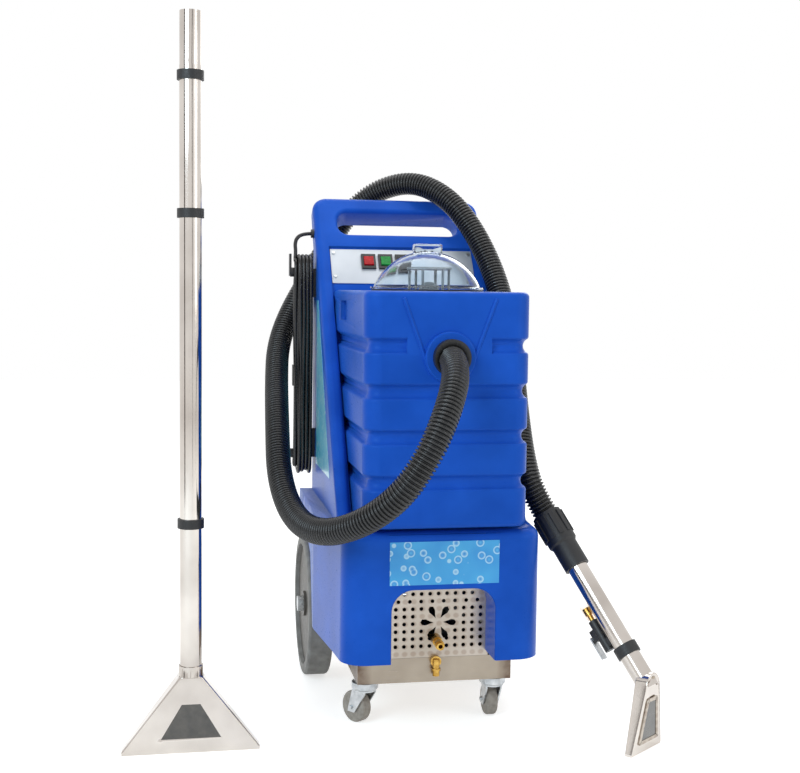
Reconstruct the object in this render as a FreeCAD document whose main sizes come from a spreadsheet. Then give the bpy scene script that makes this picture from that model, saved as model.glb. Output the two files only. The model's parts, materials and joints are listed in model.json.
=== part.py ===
import FreeCAD, Part
import math
import os
import re
import Sketcher
from FreeCAD import Placement, Rotation, Vector

# Carpet cleaner machine. X across, Y from the front to the rear, Z up, in millimetres.
# The origin is on the floor, under the middle of the chassis's front edge.

DRIVING = {
    "wheel_radius": 148, "tyre_width": 50, "tyre_depth": 22, "wheel_inner_face": 156.5,
    "axle_back": 392, "axle_radius": 10, "running_gap": 0.05,
    "tray_half_width": 144.8, "tray_low": 90.6, "tray_height": 46, "tray_length": 440, "sheet": 2,
    "caster_radius": 30, "caster_width": 22, "caster_across": 123, "caster_back": 50, "caster_trail": 22,
    "fork_sheet": 3, "kingpin_radius": 6,
    "body_front": 72, "body_half_front": 180, "body_half_rear": 205, "body_low": 147, "deck_high": 385,
    "body_wall": 5, "body_rear": 455, "column_half_width": 180, "lean_start_back": 90,
    "lean_start_high": 476, "lean": 0.72, "handle_high": 1012, "handle_thick": 46,
    "slot_half_width": 130, "slot_round": 8, "column_corner": 30, "column_round": 14, "arch_round": 4, "slot_low": 931, "slot_high": 980,
    "arch_half_width": 95, "arch_high": 280, "arch_corner": 40,
    "panel_half_width": 152, "panel_low": 822, "panel_high": 900, "panel_recess": 8, "panel_sheet": 2,
    "switch_width": 30, "switch_length": 36, "switch_pitch": 36, "switch_start": -72,
    "tank_half_width": 150, "tank_front": 88, "tank_low": 393, "tank_high": 812, "tank_wall": 5,
    "tank_back_low": 146, "tank_back_high": 342, "tank_corner": 32, "tank_gap": 3,
    "groove_depth": 10, "groove_height": 26, "groove_pitch": 80.5, "groove_low": 462, "top_groove_start": 76,
    "groove_lip": 6,
    "grip_front": 140, "grip_back": 230, "grip_low": 754, "grip_high": 792, "grip_depth": 9,
    "dome_radius": 102, "dome_rise": 68, "dome_back": 120, "dome_wall": 3, "dome_hole": 92,
    "inlet_high": 697, "inlet_ring": 45, "inlet_depth": 10, "hose_radius": 24, "cuff_radius": 33,
    "pipe_radius": 24, "pipe_wall": 2, "pipe_back": 100,
    "grille_half_width": 100, "grille_shift": 5, "grille_hole": 3.6, "grille_pitch": 16, "grille_row": 14,
    "tube_radius": 19, "wand_across": -447, "wand_back": -41, "wand_high": 1280, "wand_head_high": 136,
    "head_width": 240, "spigot_length": 90, "spigot_radius": 18.6, "plug_width": 34, "plug_depth": 25, "plug_height": 44, "head_depth": 44,
    "cord_radius": 4, "gland_radius": 9, "lead_back": 440, "lead_high": 930, "cage_height": 64, "ball_radius": 20, "filler_high": 700, "filler_radius": 45,
    "nozzle_high": 172, "hook_high": 848, "hook_low": 468, "hook_back": 405, "hook_radius": 9.7,
}

document = FreeCAD.newDocument("carpet_cleaner")
sizes = document.addObject("Spreadsheet::Sheet", "Sizes")
for line, (word, amount) in enumerate(DRIVING.items(), 1):
    sizes.set(f"A{line}", word)
    sizes.set(f"B{line}", str(amount))
    sizes.setAlias(f"B{line}", word)
document.recompute()

WORDS = re.compile(r"[a-z_]+")
nodes = {}


def size(word):
    """One driving dimension, read from the sheet."""
    return float(sizes.get(word))


def formula(text):
    """A sum over the sheet's words, written the way the document's expressions want it."""
    return WORDS.sub(lambda found: "Sizes." + found.group() if found.group() in DRIVING else found.group(), text)


def bind(thing, path, text):
    thing.setExpression(path, formula(text))


def newBody(label):
    body = document.addObject("PartDesign::Body", label)
    body.Label = label
    nodes[label] = body
    return body


def newSketch(body, plane, offset="0", name="Outline"):
    sketch = body.newObject("Sketcher::SketchObject", name)
    origin = [feature for feature in body.Origin.OriginFeatures if feature.Role == plane][0]
    sketch.AttachmentSupport = [(origin, "")]
    sketch.MapMode = "FlatFace"
    bind(sketch, ".AttachmentOffset.Base.z", offset)
    return sketch


def place(sketch, geometry, point, across, up):
    """Ties one point of a sketch to its two formulas."""
    for kind, text in (("DistanceX", across), ("DistanceY", up)):
        index = sketch.addConstraint(Sketcher.Constraint(kind, -1, 1, geometry, point, 1.0))
        bind(sketch, f"Constraints[{index}]", text)


def outline(sketch, corners):
    """A closed outline with straight sides through the corners."""
    count = len(corners)
    first = len(sketch.Geometry)
    ring = [Vector(100 * math.cos(math.tau * i / count), 100 * math.sin(math.tau * i / count), 0)
            for i in range(count)]
    for i in range(count):
        sketch.addGeometry(Part.LineSegment(ring[i], ring[(i + 1) % count]))
    for i in range(count):
        following = first + (i + 1) % count
        sketch.addConstraint(Sketcher.Constraint("Coincident", first + i, 2, following, 1))
    for i, (across, up) in enumerate(corners):
        place(sketch, first + i, 1, across, up)


def circle(sketch, across, up, radius):
    index = sketch.addGeometry(Part.Circle(Vector(1, 1, 0), Vector(0, 0, 1), 10))
    place(sketch, index, 3, across, up)
    which = sketch.addConstraint(Sketcher.Constraint("Radius", index, 10))
    bind(sketch, f"Constraints[{which}]", radius)


def rectangle(sketch, left, right, low, high):
    outline(sketch, [(left, low), (right, low), (right, high), (left, high)])


def pad(body, sketch, length, midplane=False, backward=False):
    feature = body.newObject("PartDesign::Pad", "Pad")
    feature.Profile = sketch
    feature.Midplane = midplane
    feature.Reversed = backward
    bind(feature, "Length", length)
    return feature


def pocket(body, sketch, length, midplane=False, backward=False):
    feature = body.newObject("PartDesign::Pocket", "Pocket")
    feature.Profile = sketch
    feature.Midplane = midplane
    feature.Reversed = backward
    bind(feature, "Length", length)
    return feature


def spin(body, sketch, axis):
    feature = body.newObject("PartDesign::Revolution", "Revolution")
    feature.Profile = sketch
    feature.ReferenceAxis = (sketch, [axis])
    feature.Angle = 360
    return feature


def soften(body, radius, wanted, kind="PartDesign::Fillet"):
    """Rounds the edges of the newest feature that the test picks out."""
    document.recompute()
    base = body.Tip
    names = [f"Edge{i}" for i, edge in enumerate(base.Shape.Edges, 1) if wanted(edge)]
    if not names:
        raise ValueError(f"{body.Label}: no edge to round")
    feature = body.newObject(kind, kind.split("::")[1])
    feature.Base = (base, names)
    bind(feature, "Radius" if kind.endswith("Fillet") else "Size", radius)
    document.recompute()
    return feature


def along(edge, axis, reach=1.0):
    """True where an edge is straight and lies along X, Y or Z."""
    if edge.Curve.TypeId != "Part::GeomLine" or edge.Length < reach:
        return False
    way = edge.Curve.Direction
    return abs((way.x, way.y, way.z)["XYZ".index(axis)]) > 0.999


def middle(edge):
    return edge.BoundBox.Center


def block(label, across, back, up):
    """A plain box between two formulas each way."""
    body = newBody(label)
    sketch = newSketch(body, "XY_Plane", up[0])
    rectangle(sketch, across[0], across[1], back[0], back[1])
    pad(body, sketch, f"({up[1]}) - ({up[0]})")
    return body


def shape(label, solid):
    """A piece whose shape is computed here, where no sketch or primitive fits it."""
    feature = document.addObject("Part::Feature", label)
    feature.Label = label
    feature.Shape = solid
    nodes[label] = feature
    return feature


def rod(start, end, radius, hole=0):
    """A round bar or tube between two points."""
    start = Vector(*start)
    run = Vector(*end) - start
    bar = Part.makeCylinder(radius, run.Length, start, run)
    if hole:
        bar = bar.cut(Part.makeCylinder(hole, run.Length, start, run))
    return bar


def leanBack(up, set_back="0"):
    """How far back the leaning front face lies at a height."""
    return f"lean_start_back + lean * (({up}) - lean_start_high) + ({set_back})"


def makeMainBody():
    """One hollow moulding: skirt, column and handle."""
    body = newBody("main_body")
    skirt = newSketch(body, "XY_Plane", "body_low")
    outline(skirt, [
        ("-body_half_front", "-body_front"), ("body_half_front", "-body_front"),
        ("body_half_front + 8", "30"), ("body_half_rear", "190"), ("body_half_rear", "body_rear"),
        ("-body_half_rear", "body_rear"), ("-body_half_rear", "190"), ("-body_half_front - 8", "30")])
    pad(body, skirt, "deck_high - body_low")
    soften(body, "46", lambda edge: along(edge, "Z", 100) and middle(edge).y < -60)
    soften(body, "18", lambda edge: middle(edge).z > size("deck_high") - 1 and middle(edge).y < 300)
    column = newSketch(body, "YZ_Plane", "0", "Column")
    top = "handle_high"
    outline(column, [
        ("lean_start_back - lean * (lean_start_high - deck_high + 20)", "deck_high - 20"),
        ("body_rear", "deck_high - 20"),
        ("body_rear", f"{top} - 122"),
        (leanBack(top, "handle_thick * 0.81"), f"{top} - handle_thick * 0.58"),
        (leanBack(top), top)])
    pad(body, column, "2 * column_half_width", midplane=True)
    soften(body, "column_corner", lambda edge: abs(abs(middle(edge).x) - size("column_half_width")) < 1
           and middle(edge).z > size("handle_high") - 30 and edge.Length < 60)
    soften(body, "column_round", lambda edge: (abs(middle(edge).x) > size("column_half_width") - 1
           and middle(edge).z > size("deck_high") + 2 and edge.Length > 60)
           or (along(edge, "X", 100) and middle(edge).z > size("handle_high") - 60))

    room = newSketch(body, "YZ_Plane", "0", "TankRoom")
    outline(room, [
        ("-body_front - 30", "deck_high"), ("tank_back_low + tank_gap", "deck_high"),
        ("tank_back_high + tank_gap", "panel_low - 4"), (leanBack("panel_low", "panel_recess"), "panel_low"),
        (leanBack("panel_high", "panel_recess"), "panel_high"), (leanBack("panel_high", "-60"), "panel_high + 40")])
    pocket(body, room, "2 * (tank_half_width + tank_gap)", midplane=True)

    for side in (-1, 1):
        well = newSketch(body, "YZ_Plane", f"{side} * (wheel_inner_face - 7)", "WheelWell")
        outline(well, [
            ("axle_back - wheel_radius - 42", "body_low - 20"), ("axle_back - wheel_radius - 30", "164"),
            ("axle_back - wheel_radius + 4", "2 * wheel_radius - 10"),
            ("axle_back - wheel_radius / 2", "2 * wheel_radius + 22"), ("body_rear + 20", "2 * wheel_radius + 22"),
            ("body_rear + 20", "body_low - 20")])
        pocket(body, well, "100", backward=side > 0)

    arch = newSketch(body, "XZ_Plane", "body_front + 10", "Arch")
    rectangle(arch, "-arch_half_width", "arch_half_width", "body_low - 10", "arch_high")
    pocket(body, arch, "body_front + 14")
    soften(body, "arch_corner", lambda edge: along(edge, "Y", 30) and abs(middle(edge).z - size("arch_high")) < 1
           and abs(abs(middle(edge).x) - size("arch_half_width")) < 1)

    hollow = newSketch(body, "XY_Plane", "body_low - 5", "Hollow")
    inner = "arch_half_width + 6"
    front = "-body_front + body_wall"
    outline(hollow, [
        ("-175", "-20"), ("-163", "17 - body_front"), ("-134", front), (f"-({inner})", front), (f"-({inner})", "-0.2"), (inner, "-0.2"), (inner, front),
        ("134", front), ("163", "17 - body_front"), ("175", "-20"), ("190", "190"), ("wheel_inner_face - 12", "200"),
        ("wheel_inner_face - 12", "body_rear - body_wall"), ("12 - wheel_inner_face", "body_rear - body_wall"),
        ("12 - wheel_inner_face", "200"), ("-190", "190")])
    pocket(body, hollow, "deck_high - body_low - 5", backward=True)
    brow = newSketch(body, "XY_Plane", "arch_high + body_wall + 3", "Brow")
    rectangle(brow, f"-({inner})", inner, front, "5")
    pocket(body, brow, "deck_high - arch_high - 2 * body_wall - 3", backward=True)
    notch = newSketch(body, "YZ_Plane", "0", "AxleNotch")
    rectangle(notch, "axle_back - 34", "axle_back + 34", "body_low - 10", "wheel_radius + 32")
    pocket(body, notch, "2 * wheel_inner_face + 40", midplane=True)
    lead = newSketch(body, "YZ_Plane", "-column_half_width - 5", "LeadHole")
    circle(lead, "lead_back", "lead_high", "gland_radius + running_gap")
    pocket(body, lead, "14", backward=True)

    water = newSketch(body, "YZ_Plane", "0", "Water")
    wall = "tank_gap + body_wall"
    outline(water, [
        (f"tank_back_low + {wall} + 4", "deck_high + body_wall"), ("body_rear - body_wall", "deck_high + body_wall"),
        ("body_rear - body_wall", "panel_high - 20"),
        (leanBack("panel_high - 20", "panel_recess + body_wall"), "panel_high - 20"),
        (leanBack("panel_low", "panel_recess + body_wall"), "panel_low - 2"),
        (f"tank_back_high + {wall} + 4", "panel_low - 12")])
    pocket(body, water, "2 * (column_half_width - body_wall - 11)", midplane=True)

    filler = newSketch(body, "XZ_Plane", "-body_rear - 5", "Filler")
    circle(filler, "0", "filler_high", "filler_radius")
    pocket(body, filler, "20", backward=True)

    duct = newSketch(body, "XY_Plane", "deck_high + 5", "Duct")
    circle(duct, "0", "pipe_back", "pipe_radius")
    pocket(body, duct, "20")

    slot = newSketch(body, "XZ_Plane", "0", "HandSlot")
    tilt = math.degrees(math.atan(size("lean")))
    slot.AttachmentOffset = Placement(Vector(0, 0, 0), Rotation(Vector(1, 0, 0), -tilt))
    bind(slot, ".AttachmentOffset.Base.y", "slot_low")
    bind(slot, ".AttachmentOffset.Base.z", f"-({leanBack('slot_low')}) + 20")
    rise = "(slot_high - slot_low) * 1.23"
    rectangle(slot, "-slot_half_width", "slot_half_width", "12", f"{rise} + 12")
    pocket(body, slot, "160")
    soften(body, "24", lambda edge: edge.Curve.TypeId == "Part::GeomLine" and abs(edge.Curve.Direction.x) < 0.01
           and abs(abs(middle(edge).x) - size("slot_half_width")) < 0.5 and middle(edge).z > size("slot_low") - 70
           and abs(edge.Curve.Direction.z / (edge.Curve.Direction.y or 1)) < 0.9)
    soften(body, "slot_round", lambda edge: abs(middle(edge).x) < size("slot_half_width") + 1
           and size("slot_low") - 12 < middle(edge).z < size("slot_high") + 12 and onLean(edge))
    soften(body, "arch_round", lambda edge: abs(edge.BoundBox.YMax + size("body_front")) < 0.5
           and abs(edge.BoundBox.YMin + size("body_front")) < 0.5 and abs(middle(edge).x) < size("arch_half_width") + 1
           and size("body_low") + 1 < middle(edge).z < size("arch_high") + 1)
    return body


def onLean(edge):
    """True where an edge lies in the column's leaning front face."""
    ends = [vertex.Point for vertex in edge.Vertexes] + [middle(edge)]
    return all(abs(point.y - size("lean_start_back") - size("lean") * (point.z - size("lean_start_high"))) < 0.3
               for point in ends)


def makeControls():
    """The panel with its rocker switches and screws."""
    panel = newBody("control_panel")
    side = newSketch(panel, "YZ_Plane")
    low = "panel_low + 4"
    high = "panel_high - 3"
    back = "panel_recess - 0.3"
    front = "panel_recess - 0.3 - panel_sheet * 1.23"
    outline(side, [(leanBack(low, front), low), (leanBack(low, back), low),
                   (leanBack(high, back), high), (leanBack(high, front), high)])
    pad(panel, side, "2 * (panel_half_width - 1)", midplane=True)
    tilt = math.atan(size("lean"))
    normal = Vector(0, -math.cos(tilt), math.sin(tilt))
    up = Vector(0, math.sin(tilt), math.cos(tilt))
    lift = size("panel_recess") - 0.3 - size("panel_sheet") * 1.23
    high = 0.62 * size("panel_high") + 0.38 * size("panel_low")
    back = size("lean_start_back") + size("lean") * (high - size("lean_start_high")) + lift
    centre = Vector(0, back, high)

    def tilted(x, y, z, wide, deep, tall):
        """A box on the panel's face: x across, y along the slope, z out from it."""
        box = Part.makeBox(wide, tall, deep, Vector(-wide / 2, -tall / 2, 0))
        box.Placement = Placement(centre + Vector(x, 0, 0) + up * y + normal * z,
                                  Rotation(Vector(1, 0, 0), up, normal))
        return box

    housings = []
    pieces = []
    for index, name in enumerate(("rocker_pump", "rocker_vacuum", "rocker_booster")):
        x = size("switch_start") + index * size("switch_pitch")
        wide = size("switch_width")
        tall = size("switch_length")
        frame = tilted(x, 0, 0.05, wide, 5, tall).cut(tilted(x, 0, -1, wide - 9, 9, tall - 11))
        housings.append(frame)
        button = tilted(x, 0, 1.5, wide - 10, 6, tall - 14)
        edges = [edge for edge in button.Edges if abs(edge.Length - (wide - 10)) < 0.01]
        pieces.append((name, button.makeFillet(1.5, edges)))
    shape("switch_housings", Part.makeCompound(housings))
    for name, button in pieces:
        shape(name, button)
    screws = []
    for x in (-1, 1):
        for y in (-1, 1):
            spot = centre + Vector(x * (size("panel_half_width") - 8), 0, 0)
            spot = spot + up * (y * 30 - 7) + normal * 0.02
            screws.append(Part.makeCylinder(3.5, 2, spot, normal))
    shape("panel_screws", Part.makeCompound(screws))


def roundGroove(tank, index, start):
    """One round-bottomed groove along the sides and across the front, or from start outwards on each half."""
    height = size("groove_height")
    depth = size("groove_depth")
    radius = (height ** 2 / 4 + depth ** 2) / (2 * depth)
    stand = radius - depth
    level = size("groove_low") + index * size("groove_pitch") + height / 2
    across = size("tank_half_width") + stand
    front = -size("tank_front") - stand
    corner = size("tank_corner") + stand
    back = size("tank_back_high") + 20
    for side in (-1, 1) if start else (-1,):
        line = newSketch(tank, "XY_Plane", f"{level}", "GroovePath")
        bend = side * (across - corner)
        middle_turn = corner * math.sqrt(0.5)
        parts = [Part.LineSegment(Vector(side * across, back, 0), Vector(side * across, front + corner, 0)),
                 Part.Arc(Vector(side * across, front + corner, 0),
                          Vector(bend + side * middle_turn, front + corner - middle_turn, 0), Vector(bend, front, 0))]
        if start:
            parts.append(Part.LineSegment(Vector(bend, front, 0), Vector(side * start, front, 0)))
        else:
            parts.append(Part.LineSegment(Vector(bend, front, 0), Vector(-bend, front, 0)))
            parts.append(Part.Arc(Vector(-bend, front, 0), Vector(-bend + middle_turn, front + corner - middle_turn, 0),
                                  Vector(across, front + corner, 0)))
            parts.append(Part.LineSegment(Vector(across, front + corner, 0), Vector(across, back, 0)))
        line.addGeometry(parts)
        cutter = newSketch(tank, "XZ_Plane", f"{-back}", "GrooveShape")
        cutter.addGeometry(Part.Circle(Vector(side * across, level, 0), Vector(0, 0, 1), radius))
        groove = tank.newObject("PartDesign::SubtractivePipe", "Groove")
        groove.Profile = cutter
        groove.Spine = line
        groove.Mode = "Frenet"
        document.recompute()


def onGroove(edge):
    """True for the lips where the grooves meet the tank's front and sides."""
    point = middle(edge)
    outside = abs(point.y + size("tank_front")) < 0.3 or abs(abs(point.x) - size("tank_half_width")) < 0.3
    box = edge.BoundBox
    rounded = edge.Curve.TypeId != "Part::GeomLine" and point.y < size("tank_corner") - size("tank_front")
    level = box.ZLength < 0.5
    foot = (point.z - size("groove_low")) % size("groove_pitch")
    near = min(foot, abs(foot - size("groove_height"))) < 0.5
    return level and near and (outside or rounded) and edge.Length > 5


def makeTank():
    """The dirty water tank with its grooves, seal, inlet ring, pipe, float and clear lid."""
    tank = newBody("recovery_tank")
    side = newSketch(tank, "YZ_Plane")
    outline(side, [("-tank_front", "tank_low"), ("tank_back_low", "tank_low"), ("tank_back_high", "tank_high"),
                   ("-tank_front", "tank_high")])
    pad(tank, side, "2 * tank_half_width", midplane=True)
    soften(tank, "tank_corner", lambda edge: along(edge, "Z", 100) and middle(edge).y < -50)
    soften(tank, "10", lambda edge: abs(middle(edge).z - size("tank_high")) < 1
           or abs(middle(edge).z - size("tank_low")) < 1)
    inner = newSketch(tank, "YZ_Plane", "0", "Inside")
    inset = "groove_depth + tank_wall"
    outline(inner, [(f"{inset} - tank_front", "tank_low + tank_wall"),
                    ("tank_back_low - tank_wall", "tank_low + tank_wall"),
                    ("tank_back_high - tank_wall - 3", "tank_high - tank_wall"),
                    (f"{inset} - tank_front", "tank_high - tank_wall")])
    pocket(tank, inner, f"2 * (tank_half_width - ({inset}))", midplane=True)
    soften(tank, "tank_corner + 8", lambda edge: along(edge, "Z", 100) and abs(edge.BoundBox.YMin + size("tank_front")
           - size("groove_depth") - size("tank_wall")) < 0.5)
    for index in range(4):
        roundGroove(tank, index, 0 if index < 3 else size("top_groove_start"))
    soften(tank, "groove_lip", lambda edge: onGroove(edge))
    for side in (-1, 1):
        grip = newSketch(tank, "YZ_Plane", f"{side} * (tank_half_width + 1)", "Grip")
        rectangle(grip, "grip_front", "grip_back", "grip_low", "grip_high")
        pocket(tank, grip, "grip_depth + 1", backward=side < 0)
        soften(tank, "9", lambda edge: along(edge, "X", 5) and side * middle(edge).x > size("tank_half_width") - 10
               and size("grip_low") - 1 < middle(edge).z < size("grip_high") + 1)
    top = newSketch(tank, "XY_Plane", "tank_high + 10", "TopHole")
    circle(top, "0", "dome_back", "dome_hole")
    pocket(tank, top, "30")
    floor = newSketch(tank, "XY_Plane", "tank_low + 20", "PipeHole")
    circle(floor, "0", "pipe_back", "pipe_radius + running_gap")
    pocket(tank, floor, "40")
    inlet = newSketch(tank, "XZ_Plane", "tank_front + 10", "Inlet")
    circle(inlet, "0", "inlet_high", "hose_radius + 3")
    pocket(tank, inlet, "50")

    ring = newBody("inlet_ring")
    face = newSketch(ring, "XZ_Plane", "tank_front + running_gap")
    circle(face, "0", "inlet_high", "inlet_ring")
    circle(face, "0", "inlet_high", "hose_radius + 3")
    pad(ring, face, "inlet_depth")
    soften(ring, "3", lambda edge: edge.Length > 200 and middle(edge).y < -size("tank_front") - 5)

    seal = newBody("tank_seal")
    face = newSketch(seal, "XY_Plane", "deck_high + 0.1")
    circle(face, "0", "pipe_back", "pipe_radius + 14")
    circle(face, "0", "pipe_back", "pipe_radius + 2")
    pad(seal, face, "tank_low - deck_high - 0.2")

    pipe = newBody("air_pipe")
    face = newSketch(pipe, "XY_Plane", "tank_low - 4")
    circle(face, "0", "pipe_back", "pipe_radius")
    circle(face, "0", "pipe_back", "pipe_radius - pipe_wall")
    pad(pipe, face, "tank_high - tank_low - 20")

    back = size("pipe_back")
    top = size("tank_high") - 24
    radius = size("pipe_radius")
    centre = Vector(0, back, top)
    tall = size("cage_height")
    bars = [Part.makeCylinder(2.5, tall, centre + Vector(math.cos(a), math.sin(a), 0) * (radius + 14))
            for a in (math.tau * step / 6 for step in range(6))]
    collar = Part.makeCylinder(radius + 18, 4, centre).cut(Part.makeCylinder(radius, 4, centre))
    crown = Part.makeCylinder(radius + 18, 4, centre + Vector(0, 0, tall))
    crown = crown.cut(Part.makeCylinder(6, 4, centre + Vector(0, 0, tall)))
    seats = [Part.makeBox(2 * radius + 4, 3, 2, centre - Vector(radius + 2, 1.5, 0)),
             Part.makeBox(3, 2 * radius + 4, 2, centre - Vector(1.5, radius + 2, 0))]
    shape("float_cage", collar.fuse([crown] + bars + seats).removeSplitter())
    ball = size("ball_radius")
    shape("float_ball", Part.makeSphere(ball, centre + Vector(0, 0, 2 + ball + size("running_gap"))))

    rim = newBody("dome_seal")
    face = newSketch(rim, "XY_Plane", "tank_high + 0.05")
    circle(face, "0", "dome_back", "dome_radius + 4")
    circle(face, "0", "dome_back", "dome_hole + 1")
    pad(rim, face, "3")

    dome = newBody("dome_lid")
    cut = newSketch(dome, "YZ_Plane")
    cut.AttachmentOffset = Placement(Vector(size("dome_back"), size("tank_high") + 3.1, 0), Rotation())
    bind(cut, ".AttachmentOffset.Base.x", "dome_back")
    bind(cut, ".AttachmentOffset.Base.y", "tank_high + 3.1")
    outer = size("dome_radius")
    rise = size("dome_rise")
    wall = size("dome_wall")
    bow = (outer ** 2 + rise ** 2) / (2 * rise)
    turn = math.asin(outer / bow)
    half = bow * math.sin(turn / 2), rise - bow * (1 - math.cos(turn / 2))
    top = Part.Arc(Vector(outer, 4, 0), Vector(half[0], half[1] + 4, 0), Vector(0, rise + 4, 0))
    under = Part.Arc(Vector(outer - wall, 4, 0), Vector(half[0] - wall * 0.6, half[1] + 4 - wall, 0),
                     Vector(0, rise + 4 - wall, 0))
    cut.addGeometry([
        top, under,
        Part.LineSegment(Vector(0, rise + 4 - wall, 0), Vector(0, rise + 4, 0)),
        Part.LineSegment(Vector(outer, 4, 0), Vector(outer + 6, 4, 0)),
        Part.LineSegment(Vector(outer + 6, 4, 0), Vector(outer + 6, 0, 0)),
        Part.LineSegment(Vector(outer + 6, 0, 0), Vector(outer - wall, 0, 0)),
        Part.LineSegment(Vector(outer - wall, 0, 0), Vector(outer - wall, 4, 0))])
    spin(dome, cut, "V_Axis")
    knob = newSketch(dome, "XY_Plane", "tank_high + dome_rise + 3", "Knob")
    rectangle(knob, "-26", "26", "dome_back - 14", "dome_back + 14")
    pad(dome, knob, "18")
    soften(dome, "4", lambda edge: middle(edge).z > size("tank_high") + size("dome_rise") + 20)


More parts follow.
